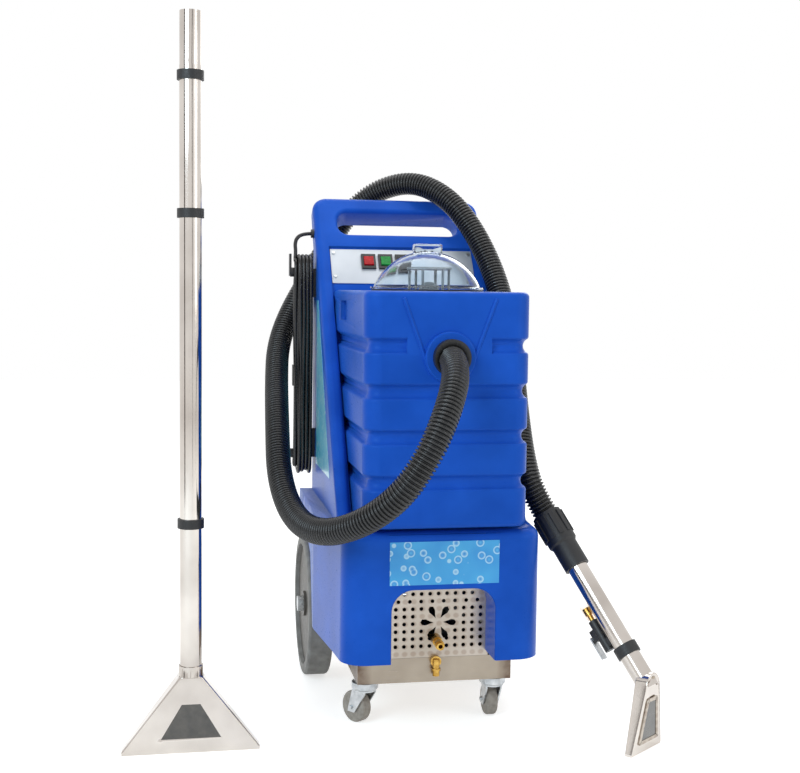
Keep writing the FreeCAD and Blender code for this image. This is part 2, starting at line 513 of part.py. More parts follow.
def makeChassis():
    """The folded tray, grille, axle, casters and wheels."""
    tray = block("chassis_tray", ("-tray_half_width", "tray_half_width"), ("0", "tray_length"),
                 ("tray_low", "tray_low + tray_height"))
    inside = newSketch(tray, "XY_Plane", "tray_low + sheet", "Inside")
    edge = "tray_half_width - sheet"
    rectangle(inside, f"-({edge})", edge, "sheet", "tray_length - sheet")
    pocket(tray, inside, "tray_height", backward=True)
    drain = newSketch(tray, "XZ_Plane", "10", "DrainHole")
    circle(drain, "0", "tray_low + tray_height - 6", "4.5")
    pocket(tray, drain, "20")

    grille = newBody("front_grille")
    face = newSketch(grille, "XZ_Plane", "-0.1 - sheet")
    rectangle(face, "-grille_half_width", "grille_half_width", "tray_low + tray_height + 0.3", "arch_high + 6")
    pad(grille, face, "sheet")
    rows = {0: [x - 4 for x in range(9)], 1: [1.33 * x - 4.7 for x in range(8)],
            2: [-5, -4, -3, -2, 2, 3, 4, 5], 3: [-5, -4, -3, 3, 4, 5], 4: [-5, -4, -3, 3, 4, 5],
            5: [-5, -4, -3, -2, 2, 3, 4, 5], 6: [-5, -4, -3, -2, -1, 1, 2, 3, 4, 5],
            7: [-5, -4, -3, -2, -1, 1, 2, 3, 4, 5]}
    for row, places in rows.items():
        holes = newSketch(grille, "XZ_Plane", "1", f"Row{row}")
        for x in places:
            circle(holes, f"grille_shift + grille_pitch * {x:.2f}",
                   f"arch_high - 24 - grille_row * {row}", "grille_hole")
        pocket(grille, holes, "6")
    petals = newSketch(grille, "XZ_Plane", "1", "Flower")
    for petal in range(6):
        turn = math.tau * (petal - 0.08) / 6

        def spot(reach, swing):
            angle = turn + swing
            return (f"grille_shift + {reach * math.cos(angle):.2f}",
                    f"arch_high - 78 + {reach * math.sin(angle):.2f}")

        outline(petals, [spot(9, 0.1), spot(17, 0.24), spot(25, 0.3), spot(31, 0.22), spot(34, 0.06), spot(31, -0.12),
                         spot(24, -0.18), spot(16, -0.06)])
    pocket(grille, petals, "6")
    nozzle = newSketch(grille, "XZ_Plane", "1", "NozzleHole")
    circle(nozzle, "0", "nozzle_high", "9.7")
    pocket(grille, nozzle, "6")

    axle = document.addObject("Part::Cylinder", "rear_axle")
    axle.Label = "rear_axle"
    axle.Placement = Placement(Vector(), Rotation(Vector(0, 1, 0), 90))
    bind(axle, "Radius", "axle_radius")
    bind(axle, "Height", "2 * (wheel_inner_face + tyre_width + 5)")
    bind(axle, "Placement.Base.x", "-(wheel_inner_face + tyre_width + 5)")
    bind(axle, "Placement.Base.y", "axle_back")
    bind(axle, "Placement.Base.z", "wheel_radius")
    nodes["rear_axle"] = axle

    radius = size("axle_radius")
    back = size("axle_back")
    high = size("wheel_radius")
    outer = size("tray_half_width")
    ears = []
    for side in (-1, 1):
        ear = Part.makeBox(3.6, 60, 76, Vector(-1.8, back - 30, size("tray_low") + 8))
        ear.translate(Vector(side * (outer + 2.1), 0, 0))
        hole = Part.makeCylinder(radius + 0.05, 20, Vector(side * outer - 10, back, high), Vector(1, 0, 0))
        ears.append(ear.cut(hole))
    shape("axle_brackets", Part.makeCompound(ears))

    caps = []
    for side, word in ((-1, "left"), (1, "right")):
        near = side * size("wheel_inner_face")
        far = side * (size("wheel_inner_face") + size("tyre_width"))
        rim = size("wheel_radius") - size("tyre_depth")
        tyre = rod((near, back, high), (far, back, high), size("wheel_radius"), rim)
        round_edges = [edge for edge in tyre.Edges if edge.Curve.TypeId == "Part::GeomCircle"
                       and edge.Curve.Radius > rim + 1]
        shape(f"tyre_{word}", tyre.makeFillet(7, round_edges))
        gap = size("running_gap")
        disc = rod((near + side * 20, back, high), (far - side * 8, back, high), rim - 0.02, radius + gap)
        barrel = rod((near + side * 1, back, high), (far - side * 3, back, high), 26, radius + gap)
        shape(f"wheel_hub_{word}", disc.fuse(barrel).removeSplitter())
        cap = rod((far - side * 2.7, back, high), (far + side * 9, back, high), 16)
        caps.append(cap.cut(rod((far - side * 4, back, high), (far + side * 5.2, back, high), radius)))
    shape("axle_caps", Part.makeCompound(caps))

    low = size("tray_low")
    pin = size("kingpin_radius")
    wheel = size("caster_radius")
    trail = size("caster_trail")
    plates = []
    for side, word, turn in ((-1, "left", 35), (1, "right", 0)):
        spot = Vector(side * size("caster_across"), size("caster_back"), 0)
        plate = Part.makeCylinder(21, 4, spot + Vector(0, 0, low - 4.1))
        king = Part.makeCylinder(pin, 22, spot + Vector(0, 0, low - 26))
        plates.append(plate.fuse(king))
        swivel = Rotation(Vector(0, 0, 1), turn)
        inner = size("caster_width") / 2 + 1.5
        thick = size("fork_sheet")
        crown = Part.makeCylinder(20, 8, Vector(0, 0, low - 14.6))
        crown = crown.fuse(Part.makeBox(2 * inner + 2 * thick, 30, thick, Vector(-inner - thick, -14, low - 17.6)))
        bore = Part.makeCylinder(pin + size("running_gap"), 40, Vector(0, 0, low - 30))
        fork = crown
        for way in (-1, 1):
            wall = Part.makePolygon([Vector(0, -14, low - 14.6), Vector(0, 16, low - 14.6),
                                     Vector(0, trail + 9, wheel - 9), Vector(0, trail - 9, wheel - 9),
                                     Vector(0, -14, low - 30), Vector(0, -14, low - 14.6)])
            leg = Part.Face(wall).extrude(Vector(thick, 0, 0))
            leg.translate(Vector(inner if way > 0 else -inner - thick, 0, 0))
            fork = fork.fuse(leg)
        bolt = Part.makeCylinder(4, 2 * inner + 2 * thick + 6, Vector(-inner - thick - 3, trail, wheel),
                                 Vector(1, 0, 0))
        fork = fork.cut(bore).fuse(bolt).removeSplitter()
        roller = Part.makeCylinder(wheel, 2 * inner - 3, Vector(-inner + 1.5, trail, wheel), Vector(1, 0, 0))
        roller = roller.makeFillet(5, [edge for edge in roller.Edges if edge.Length > 100])
        roller = roller.cut(Part.makeCylinder(4 + size("running_gap"), 60, Vector(-30, trail, wheel),
                                              Vector(1, 0, 0)))
        for name, solid in ((f"caster_fork_{word}", fork), (f"caster_wheel_{word}", roller)):
            solid.Placement = Placement(spot, swivel)
            shape(name, solid.copy())
    shape("caster_plates", Part.makeCompound(plates))


def makeFittings():
    """Brass couplings, labels, filler cap and cord hooks."""
    high = size("nozzle_high")
    nipple = rod((0, 20, high + 2), (0, -20, high - 1), 9)
    nipple = nipple.fuse(rod((0, -20, high - 1), (0, -46, high - 3), 7))
    nipple = nipple.fuse(rod((0, -34, high - 2), (0, -40, high - 2.5), 8.6))
    nipple = nipple.cut(rod((0, -60, high - 4), (0, 0, high), 4))
    shape("solution_coupling", nipple.removeSplitter())
    top = size("tray_low") + size("tray_height") - 6
    drain = rod((0, 8, top), (0, -14, top), 4.4)
    drain = drain.fuse(rod((0, -0.3, top), (0, -9, top), 10))
    drain = drain.fuse(rod((0, -9, top + 5), (0, -9, top - 26), 6.5))
    drain = drain.fuse(rod((0, -9, top - 12), (0, -9, top - 16), 8.5))
    shape("drain_coupling", drain.removeSplitter())

    front = -size("body_front")
    shape("front_label", Part.makeBox(200, 0.4, 78, Vector(-100, front - 0.5, 290)))
    side = size("column_half_width")
    corners = [Vector(-side - 0.1, y, z) for y, z in ((150, 450), (372, 450), (372, 790), (346, 790))]
    label = Part.Face(Part.makePolygon(corners + corners[:1])).extrude(Vector(-0.4, 0, 0))
    shape("side_label", label)

    rear = size("body_rear")
    filler = size("filler_high")
    ring = size("filler_radius")
    cap = rod((0, rear + 0.2, filler), (0, rear + 20, filler), ring + 12)
    cap = cap.fuse(rod((0, rear + 0.3, filler), (0, rear - 12, filler), ring - 0.3))
    cap = cap.cut(rod((0, rear - 14, filler), (0, rear + 14, filler), ring - 6))
    shape("filler_cap", cap.removeSplitter())

    hooks = []
    for z, way in ((size("hook_high"), 1), (size("hook_low"), -1)):
        y = size("hook_back")
        plate = Part.makeBox(5, 18, 60, Vector(-side - 5.1, y - 9, z - 30 - way * 22))
        arm = Part.makeCylinder(size("hook_radius"), 48, Vector(-side - 53, y, z), Vector(1, 0, 0))
        lip = Part.makeBox(4, 18, 46, Vector(-side - 55, y - 9, z - 8 if way > 0 else z - 38))
        hooks.append(plate.fuse([arm, lip]).removeSplitter())
    shape("cord_hooks", Part.makeCompound(hooks))


def makeWorks():
    """What is inside the base: two vacuum motors, the pump, its line and the terminal box."""
    floor = size("tray_low") + size("sheet")
    shells = []
    for side, word in ((-1, "left"), (1, "right")):
        spot = Vector(side * 70, 290, floor + 0.3)
        shell = Part.makeCylinder(62, 150, spot).cut(Part.makeCylinder(57, 140, spot + Vector(0, 0, 5)))
        shell = shell.cut(Part.makeCylinder(20, 20, spot + Vector(0, 0, 140)))
        stub = Part.makeCylinder(5, 100, spot + Vector(0, 0, 4))
        shells.append(shell.fuse(stub).removeSplitter())
        rotor = Part.makeCylinder(50, 30, spot + Vector(0, 0, 70)).fuse(
            Part.makeCylinder(30, 40, spot + Vector(0, 0, 30)))
        rotor = rotor.cut(Part.makeCylinder(5.05, 130, spot))
        shape(f"vacuum_rotor_{word}", rotor)
    shape("vacuum_motors", Part.makeCompound(shells))
    base = Part.makeBox(120, 60, 8, Vector(-60, 60, floor + 0.2))
    motor = rod((-55, 90, floor + 50), (20, 90, floor + 50), 36)
    head = Part.makeBox(36, 64, 70, Vector(20, 58, floor + 8))
    shape("solution_pump", motor.fuse([head, base]).removeSplitter())
    line = rod((38, 58, floor + 40), (38, 30, floor + 40), 5)
    line = line.fuse(Part.makeSphere(5, Vector(38, 30, floor + 40)))
    high = size("nozzle_high") + 2
    line = line.fuse(rod((38, 30, floor + 40), (0, 30, high), 5))
    line = line.fuse(Part.makeSphere(5, Vector(0, 30, high)))
    line = line.fuse(rod((0, 30, high), (0, 20.6, high), 5))
    shape("solution_line", line.removeSplitter())
    shape("terminal_box", Part.makeBox(60, 40, 80, Vector(-132, 60, floor + 0.2)))


def routeWire(points):
    """Straight runs joined by tangent arcs, each as large as its two runs allow."""
    points = [Vector(*point) for point in points]
    edges = []
    radii = []
    start = points[0]
    for before, corner, after in zip(points, points[1:], points[2:]):
        inward = (corner - before).normalize()
        outward = (after - corner).normalize()
        turn = inward.getAngle(outward)
        cut = 0.45 * min((corner - before).Length, (after - corner).Length)
        radius = cut / math.tan(turn / 2)
        radii.append(round(radius))
        first = corner - inward * cut
        last = corner + outward * cut
        inside = (outward - inward).normalize()
        centre = corner + inside * (radius / math.cos(turn / 2))
        edges.append(Part.LineSegment(start, first).toShape())
        edges.append(Part.Arc(first, centre - inside * radius, last).toShape())
        start = last
    edges.append(Part.LineSegment(start, points[-1]).toShape())
    return Part.Wire(edges), radii


def cordTube(label, points, radius):
    """The plain tube of a free cord along its route."""
    wire, radii = routeWire(points)
    way = Vector(*points[1]) - Vector(*points[0])
    ring = Part.Wire([Part.makeCircle(radius, Vector(*points[0]), way)])
    tube = wire.makePipeShell([ring], True, True)
    expected = math.pi * radius ** 2 * wire.Length
    print(f"{label}: length {wire.Length:.1f}, arcs {radii}, volume ratio {tube.Volume / expected:.4f}")
    return shape(label, tube)


HOSE_ROUTE = [
    (0, -100, 697), (-4, -166, 682), (-28, -222, 626), (-66, -250, 548), (-114, -240, 474), (-172, -184, 420),
    (-226, -96, 390), (-262, 10, 398), (-280, 120, 455), (-274, 230, 545), (-266, 345, 625), (-256, 432, 692),
    (-226, 494, 760), (-178, 526, 840), (-134, 548, 914), (-88, 556, 984), (-28, 534, 1034), (44, 484, 1050),
    (106, 424, 1012), (150, 380, 946), (180, 336, 868), (195, 288, 790), (196, 232, 710),
    (190, 174, 632), (183, 114, 556), (182, 66, 488), (193, 40, 436), (219, 34, 392)]


def makeHose():
    """The corrugated vacuum hose with its cuffs."""
    radius = size("hose_radius")
    high = size("inlet_high")
    mouth = -size("tank_front")
    face = mouth - size("inlet_depth") - 0.3
    cuff = rod((0, face, high), (0, face - 17, high), radius + 8.5)
    cuff = cuff.fuse(rod((0, mouth + 14, high), (0, face, high), radius + 2.5))
    cuff = cuff.cut(rod((0, mouth + 30, high), (0, face - 2, high), radius - 3))
    first = Vector(*HOSE_ROUTE[0])
    ahead = Vector(*HOSE_ROUTE[1])
    cuff = cuff.cut(rod(first, ahead, radius + 0.2))
    shape("hose_cuff", cuff.removeSplitter())
    cordTube("vacuum_hose", HOSE_ROUTE, radius)


def flare(top, low, wide_top, deep_top, wide_low, deep_low, corner=4):
    """A flat nozzle that widens from one rounded rectangle to another, down the Z axis."""
    wires = []
    for z, wide, deep in ((top, wide_top, deep_top), (low, wide_low, deep_low)):
        box = Part.makeBox(wide, deep, 1, Vector(-wide / 2, -deep / 2, z))
        box = box.makeFillet(corner, [edge for edge in box.Edges if along(edge, "Z", 0.5)])
        wires.append([face for face in box.Faces if abs(face.CenterOfMass.z - z) < 1e-6][0].OuterWire)
    return Part.makeLoft(wires, True, True)


def valveSet(prefix, distance, offset, tube):
    """A solution valve under the tube: fitting, body and trigger, along +Z from distance."""
    across = Vector(0, offset, distance)
    body = Part.makeCylinder(9, 62, across)
    body = body.fuse(Part.makeBox(14, 20, 22, Vector(-7, offset - 4, distance + 14)))
    body = body.cut(Part.makeBox(5, 14, 24, Vector(-2.5, offset + 6, distance + 13)))
    saddle = Part.makeBox(10, offset - tube + 2, 16, Vector(-5, tube - 2, distance + 40))
    body = body.fuse(saddle.cut(Part.makeCylinder(tube + 0.1, 400, Vector(0, 0, distance - 100))))
    fitting = Part.makeCylinder(5, 12, across - Vector(0, 0, 12.1))
    fitting = fitting.fuse(Part.makeCylinder(7, 14, across - Vector(0, 0, 26)))
    fitting = fitting.cut(Part.makeCylinder(3, 40, across - Vector(0, 0, 30)))
    pivot = Vector(-6.2, offset + 12, distance + 18)
    hole = Part.makeCylinder(1.65, 20, pivot - Vector(4, 0, 0), Vector(1, 0, 0))
    trigger = Part.makeBox(3.6, 4, 16, Vector(-1.8, offset + 10, distance + 14))
    trigger = trigger.fuse(Part.makeBox(3.6, 11, 5, Vector(-1.8, offset + 10, distance + 25)))
    trigger = trigger.fuse(Part.makeBox(14, 3, 44, Vector(-7, offset + 19.5, distance + 24)))
    body = body.cut(hole).fuse(Part.makeCylinder(1.6, 12.4, pivot, Vector(1, 0, 0)))
    return {f"{prefix}_valve": body.removeSplitter(), f"{prefix}_fitting": fitting,
            f"{prefix}_trigger": trigger.cut(hole).removeSplitter()}


def windowIn(head, corners, depth):
    """Sets a flat window into the front (-Y) face of a nozzle head."""
    front = head.BoundBox.YMin - 1
    corners = [Vector(x, front, z) for x, z in corners]
    pane = Part.Face(Part.makePolygon(corners + corners[:1])).extrude(Vector(0, depth + 1, 0))
    wider = pane.copy()
    wider.scale(1.006, pane.CenterOfMass)
    opened = head.cut(wider)
    pane = pane.common(head)
    return opened, pane.cut(pane.translated(Vector(0, 3, 0)))


def makeTool():
    """The hand tool on the hose: cuff, tube, strap, valve set and flat head."""
    start = Vector(219, 34, 392)
    end = Vector(348, -158, 126)
    run = (end - start)
    reach = run.Length
    run.normalize()
    tube = size("tube_radius")
    radius = size("hose_radius")
    level = Vector(0.773, 0.634, 0)
    cuff = Part.makeCylinder(radius + 4, 62, Vector(0, 0, 0))
    cuff = cuff.fuse(Part.makeCone(radius + 4, tube + 5, 6, Vector(0, 0, 62)))
    cuff = cuff.fuse(Part.makeCylinder(tube + 5, 48, Vector(0, 0, 68)))
    cuff = cuff.cut(Part.makeCylinder(radius + 0.3, 40, Vector(0, 0, -1)))
    cuff = cuff.cut(Part.makeCylinder(tube - 3, 200, Vector(0, 0, 0)))
    cuff = cuff.cut(Part.makeCylinder(tube + 0.05, 100, Vector(0, 0, 90)))
    pipe = Part.makeCylinder(tube, reach - 90 + 16, Vector(0, 0, 90.1))
    pipe = pipe.cut(Part.makeCylinder(tube - 1.5, 400, Vector(0, 0, 80)))
    strap = Part.makeCylinder(tube + 3.2, 20, Vector(0, 0, 282))
    strap = strap.cut(Part.makeCylinder(tube + 0.05, 30, Vector(0, 0, 280)))
    pieces = {"tool_cuff": cuff, "tool_tube": pipe, "tool_strap": strap}
    pieces.update(valveSet("tool", 212, tube + 14, tube))
    under = Vector(0, 0, -1) - run * Vector(0, 0, -1).dot(run)
    turned = Rotation(Vector(), under, run, "ZYX")
    for label, solid in pieces.items():
        solid.Placement = Placement(start, turned)
        pieces[label] = solid.copy()

    high = 152
    head = flare(high, 0.6, 46, 44, 104, 16)
    dome = Part.makeCylinder(23, 44, Vector(0, -22, high), Vector(0, 1, 0))
    dome = dome.common(Part.makeBox(60, 60, 40, Vector(-30, -30, high)))
    head = head.fuse(dome)
    hollow = flare(high - 6, -1, 38, 36, 99, 11, 3)
    head = head.cut(hollow)
    head, pane = windowIn(head, [(-14, 122), (14, 122), (34, 34), (-34, 34)], 8)
    turned = Rotation(level, Vector(), Vector(0, 0, 1), "ZXY")
    spot = Vector(end.x, end.y, 0)
    for label, solid in (("tool_head", head), ("tool_window", pane)):
        solid.Placement = Placement(spot, turned)
        pieces[label] = solid.copy()
    bar = Part.makeCylinder(tube + 0.05, reach + 40, start, run)
    pieces["tool_head"] = pieces["tool_head"].cut(bar)
    pieces["tool_window"] = pieces["tool_window"].cut(bar)
    last = [Vector(*point) for point in HOSE_ROUTE[-2:]]
    pieces["tool_cuff"] = pieces["tool_cuff"].cut(rod(last[0], last[1], radius + 0.2))
    pieces["tool_tube"] = pieces["tool_tube"].cut(Part.makeBox(400, 400, 60, Vector(150, -400, 40)))
    for label, solid in pieces.items():
        shape(label, solid)


def makeWand():
    """The free-standing floor wand."""
    tube = size("tube_radius")
    high = size("wand_high")
    spot = Vector(size("wand_across"), size("wand_back"), 0)
    top = size("wand_head_high")
    wide = size("head_width")
    head = flare(top, 6, 42, size("head_depth"), wide, 26)
    head = head.fuse(Part.makeBox(wide, 26, 6, Vector(-wide / 2, -13, 0)))
    head = head.fuse(Part.makeCylinder(tube + 2.5, 22, Vector(0, 0, top - 4)))
    head = head.cut(flare(top - 6, 4, 36, size("head_depth") - 6, wide - 6, 20, 3))
    head = head.cut(Part.makeBox(wide - 6, 20, 10, Vector(3 - wide / 2, -10, -2)))
    head = head.cut(Part.makeCylinder(tube + 0.05, 40, Vector(0, 0, top - 8)))
    head, pane = windowIn(head, [(-16, 88), (16, 88), (52, 26), (-52, 26)], 10)
    pieces = {"wand_head": head.removeSplitter(), "wand_window": pane}
    spigot = size("spigot_length")
    pipe = Part.makeCylinder(tube, high - top - spigot, Vector(0, 0, top - 1))
    pipe = pipe.fuse(Part.makeCylinder(size("spigot_radius"), spigot, Vector(0, 0, high - 1 - spigot)))
    pipe = pipe.cut(Part.makeCylinder(tube - 1.5, high, Vector(0, 0, top - 2)))
    pieces["wand_tube"] = pipe
    collars = []
    for level in (high - 108, high - 340, high - 875):
        collar = Part.makeCylinder(tube + 4, 16, Vector(0, 0, level - 8))
        collar = collar.fuse(Part.makeBox(12, 16, 12, Vector(-6, tube + 1, level - 6)))
        collar = collar.cut(Part.makeCylinder(tube + 0.05, 30, Vector(0, 0, level - 15)))
        collars.append(collar.cut(Part.makeCylinder(4.05, 30, Vector(0, tube + 10, level - 15))))
    pieces["wand_collars"] = Part.makeCompound(collars)
    line = Part.makeCylinder(4, high - 540 - 40, Vector(0, tube + 10, 40))
    line = line.cut(Part.makeCylinder(2.4, high, Vector(0, tube + 10, 46)))
    pieces["wand_line"] = line.cut(head)
    for label, solid in pieces.items():
        solid.Placement = Placement(spot, Rotation())
        shape(label, solid.copy())


LEAD_ROUTE = [(-186, 440, 930), (-204, 440, 929), (-217, 436, 920), (-221, 428, 906), (-217, 419, 892),
              (-211, 407, 878.8)]


def makeCord():
    """The mains cord: gland, lead and the hank on its hooks."""
    side = size("column_half_width")
    radius = size("cord_radius")
    y = size("hook_back")
    back = size("lead_back")
    high = size("lead_high")
    gland = rod((-side + 6, back, high), (-side - 6, back, high), size("gland_radius"), radius + 0.3)
    shape("cord_gland", gland)
    cordTube("mains_lead", LEAD_ROUTE, radius)
    bore = size("hook_radius") + 0.3
    high = size("hook_high") + bore
    low = size("hook_low") - bore

    def ring(reach, swell):
        """A stadium standing up in the YZ plane."""
        spots = [Vector(0, y - reach, low - swell + reach), Vector(0, y - reach, high + swell - reach)]
        far = [Vector(0, y + reach, spot.z) for spot in spots]
        crown = Part.Arc(spots[1], Vector(0, y, high + swell), far[1]).toShape()
        foot = Part.Arc(far[0], Vector(0, y, low - swell), spots[0]).toShape()
        edges = [Part.makeLine(*spots), crown, Part.makeLine(far[1], far[0]), foot]
        return Part.Face(Part.Wire(edges)).extrude(Vector(-42, 0, 0))

    hank = ring(bore + 15, 18).cut(ring(bore, 0))
    hank.translate(Vector(-side - 6, 0, 0))
    shape("cord_hank", hank)

    wide, deep, tall = size("plug_width"), size("plug_depth"), size("plug_height")
    plug = Part.makeBox(wide, deep, tall, Vector(-side - 27 - wide / 2, y + bore + 15 + size("running_gap"), low + 150))
    corners = [edge for edge in plug.Edges if along(edge, "Z") and middle(edge).y > y + bore + 16]
    plug = plug.makeFillet(9, corners)
    for x in (-1, 1):
        spot = Vector(-side - 27 + x * 9.5, y + bore + 15 + deep / 2, low + 131)
        plug = plug.fuse(Part.makeCylinder(2.4, 20, spot))
    shape("mains_plug", plug.removeSplitter())


def writeParts():
    """Checks every object, then writes each piece to its own file."""
    document.recompute()
    for thing in document.Objects:
        if "Invalid" in thing.State or "Error" in thing.State:
            raise ValueError(f"{thing.Label}: {thing.State}")
    os.makedirs("parts", exist_ok=True)
    for label, thing in nodes.items():
        if thing.Shape.isNull() or not thing.Shape.isValid() or not thing.Shape.Solids:
            raise ValueError(f"{label}: no valid solid")
        thing.Shape.exportStep(f"parts/{label}.step")
    print(len(nodes), "pieces")


makeMainBody()
makeControls()
makeTank()
makeChassis()
makeFittings()
makeWorks()
makeHose()
makeTool()
makeWand()
makeCord()
writeParts()
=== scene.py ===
import json
import math
import random

import bmesh
import bpy
from mathutils import Matrix, Vector


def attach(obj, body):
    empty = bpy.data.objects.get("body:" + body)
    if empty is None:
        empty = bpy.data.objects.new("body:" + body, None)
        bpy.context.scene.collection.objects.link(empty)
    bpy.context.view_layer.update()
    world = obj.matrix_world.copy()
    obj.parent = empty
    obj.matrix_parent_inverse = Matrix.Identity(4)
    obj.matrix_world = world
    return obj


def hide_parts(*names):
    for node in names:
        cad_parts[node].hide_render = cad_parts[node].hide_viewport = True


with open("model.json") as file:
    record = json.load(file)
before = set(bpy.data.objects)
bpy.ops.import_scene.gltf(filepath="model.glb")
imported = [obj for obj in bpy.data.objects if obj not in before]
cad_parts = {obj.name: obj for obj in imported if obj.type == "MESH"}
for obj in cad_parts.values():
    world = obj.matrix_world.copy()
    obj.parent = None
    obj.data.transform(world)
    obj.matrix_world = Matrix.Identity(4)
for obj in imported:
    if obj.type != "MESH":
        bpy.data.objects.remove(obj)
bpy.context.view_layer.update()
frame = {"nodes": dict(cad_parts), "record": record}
random.seed(7)
mm = 0.001


# small helpers

def hexColour(text, alpha=1.0):
    # sRGB hex to the linear colour that a shader wants
    parts = [int(text[i:i + 2], 16) / 255 for i in (1, 3, 5)]
    linear = [c / 12.92 if c <= 0.04045 else ((c + 0.055) / 1.055) ** 2.4 for c in parts]
    return (*linear, alpha)


def addNode(tree, kind, values=None, **settings):
    node = tree.nodes.new(kind)
    for name, value in settings.items():
        setattr(node, name, value)
    for name, value in (values or {}).items():
        socket = node.inputs[name]
        if isinstance(value, bpy.types.NodeSocket):
            tree.links.new(value, socket)
        else:
            socket.default_value = value
    return node


def startMaterial(name):
    # an empty material with its surface shader and object coordinates
    material = bpy.data.materials.new(name)
    material.use_nodes = True
    tree = material.node_tree
    tree.nodes.clear()
    surface = addNode(tree, "ShaderNodeBsdfPrincipled")
    addNode(tree, "ShaderNodeOutputMaterial", {"Surface": surface.outputs["BSDF"]})
    place = addNode(tree, "ShaderNodeTexCoord").outputs["Object"]
    return material, tree, surface, place


def colourSpread(tree, fac, stops):
    # a colour ramp from a list of (position, hex)
    ramp = addNode(tree, "ShaderNodeValToRGB", {"Fac": fac})
    elements = ramp.color_ramp.elements
    while len(elements) < len(stops):
        elements.new(0.5)
    for element, (position, colour) in zip(elements, stops):
        element.position = position
        element.color = hexColour(colour)
    return ramp.outputs["Color"]


def finishFrom(name, stops, roughness, grain, relief, metallic=0.0, **extra):
    # most finishes: a tone that drifts over the piece, a fine relief and a roughness that varies with it
    # grain and drift sizes are millimetres; a noise of scale s has features about 1/s metres across
    material, tree, surface, place = startMaterial(name)
    drift = extra.pop("drift", 60)
    stretch = extra.pop("stretch", None)
    if stretch:
        place = addNode(tree, "ShaderNodeMapping", {"Vector": place, "Scale": stretch}).outputs["Vector"]
    tone = addNode(tree, "ShaderNodeTexNoise", {"Vector": place, "Scale": 1 / (drift * mm), "Detail": 3.0})
    fine = addNode(tree, "ShaderNodeTexNoise", {"Vector": place, "Scale": 1 / (grain * mm), "Detail": 2.0})
    colour = colourSpread(tree, tone.outputs["Fac"], stops)
    rough = addNode(tree, "ShaderNodeMapRange", {
        "Value": fine.outputs["Fac"], "From Min": 0.3, "From Max": 0.7, "To Min": roughness[0], "To Max": roughness[1]})
    bump = addNode(tree, "ShaderNodeBump", {
        "Height": fine.outputs["Fac"], "Strength": relief[0], "Distance": relief[1] * mm})
    for socket, value in {"Base Color": colour, "Roughness": rough.outputs["Result"],
                          "Normal": bump.outputs["Normal"]}.items():
        tree.links.new(value, surface.inputs[socket])
    surface.inputs["Metallic"].default_value = metallic
    for socket, value in extra.items():
        surface.inputs[socket].default_value = value
    return material


def clearPlastic(name, tint, roughness, ior):
    # clear sheet: transmission with a whisper of surface waviness
    material, tree, surface, place = startMaterial(name)
    wave = addNode(tree, "ShaderNodeTexNoise", {"Vector": place, "Scale": 28.0, "Detail": 2.0})
    tone = colourSpread(tree, wave.outputs["Fac"], [(0.3, tint[0]), (0.7, tint[1])])
    rough = addNode(tree, "ShaderNodeMapRange", {
        "Value": wave.outputs["Fac"], "To Min": roughness, "To Max": roughness + 0.05})
    bump = addNode(tree, "ShaderNodeBump", {"Height": wave.outputs["Fac"], "Strength": 0.15, "Distance": 1.2 * mm})
    tree.links.new(tone, surface.inputs["Base Color"])
    tree.links.new(rough.outputs["Result"], surface.inputs["Roughness"])
    tree.links.new(bump.outputs["Normal"], surface.inputs["Normal"])
    surface.inputs["Transmission Weight"].default_value = 1.0
    surface.inputs["IOR"].default_value = ior
    return material


def bubbleFilm(name, stops, pitch, ground):
    # printed film of plain water drops: round cells with a light rim and a darker heart
    material, tree, surface, place = startMaterial(name)
    cells = addNode(tree, "ShaderNodeTexVoronoi", {"Vector": place, "Scale": 1 / (pitch * mm), "Randomness": 1.0})
    drops = colourSpread(tree, cells.outputs["Distance"], stops)
    wash = addNode(tree, "ShaderNodeTexNoise", {"Vector": place, "Scale": 14.0, "Detail": 2.0})
    behind = colourSpread(tree, wash.outputs["Fac"], ground)
    pick = addNode(tree, "ShaderNodeMapRange", {
        "Value": cells.outputs["Distance"], "From Min": 0.34, "From Max": 0.38, "To Min": 0.75, "To Max": 0.0})
    mixed = addNode(tree, "ShaderNodeMix", {"Factor": pick.outputs["Result"]}, data_type="RGBA")
    tree.links.new(behind, mixed.inputs[6])
    tree.links.new(drops, mixed.inputs[7])
    tree.links.new(mixed.outputs[2], surface.inputs["Base Color"])
    surface.inputs["Roughness"].default_value = 0.28
    surface.inputs["Coat Weight"].default_value = 0.3
    return material


def brushedSteel(name, stops, roughness, along, metallic=1.0):
    # brushed or polished sheet: streaks along one axis, drawn 1 mm apart, coarser than the real ones
    material, tree, surface, place = startMaterial(name)
    scale = [900.0, 900.0, 900.0]
    scale[along] = 18.0
    stretched = addNode(tree, "ShaderNodeMapping", {"Vector": place, "Scale": scale}).outputs["Vector"]
    streak = addNode(tree, "ShaderNodeTexNoise", {"Vector": stretched, "Scale": 1.0, "Detail": 2.0})
    cloud = addNode(tree, "ShaderNodeTexNoise", {"Vector": place, "Scale": 9.0, "Detail": 3.0})
    colour = colourSpread(tree, cloud.outputs["Fac"], stops)
    rough = addNode(tree, "ShaderNodeMapRange", {
        "Value": streak.outputs["Fac"], "From Min": 0.25, "From Max": 0.75,
        "To Min": roughness[0], "To Max": roughness[1]})
    bump = addNode(tree, "ShaderNodeBump", {"Height": streak.outputs["Fac"], "Strength": 0.08, "Distance": 0.1 * mm})
    tree.links.new(colour, surface.inputs["Base Color"])
    tree.links.new(rough.outputs["Result"], surface.inputs["Roughness"])
    tree.links.new(bump.outputs["Normal"], surface.inputs["Normal"])
    surface.inputs["Metallic"].default_value = metallic
    return material


print("materials")
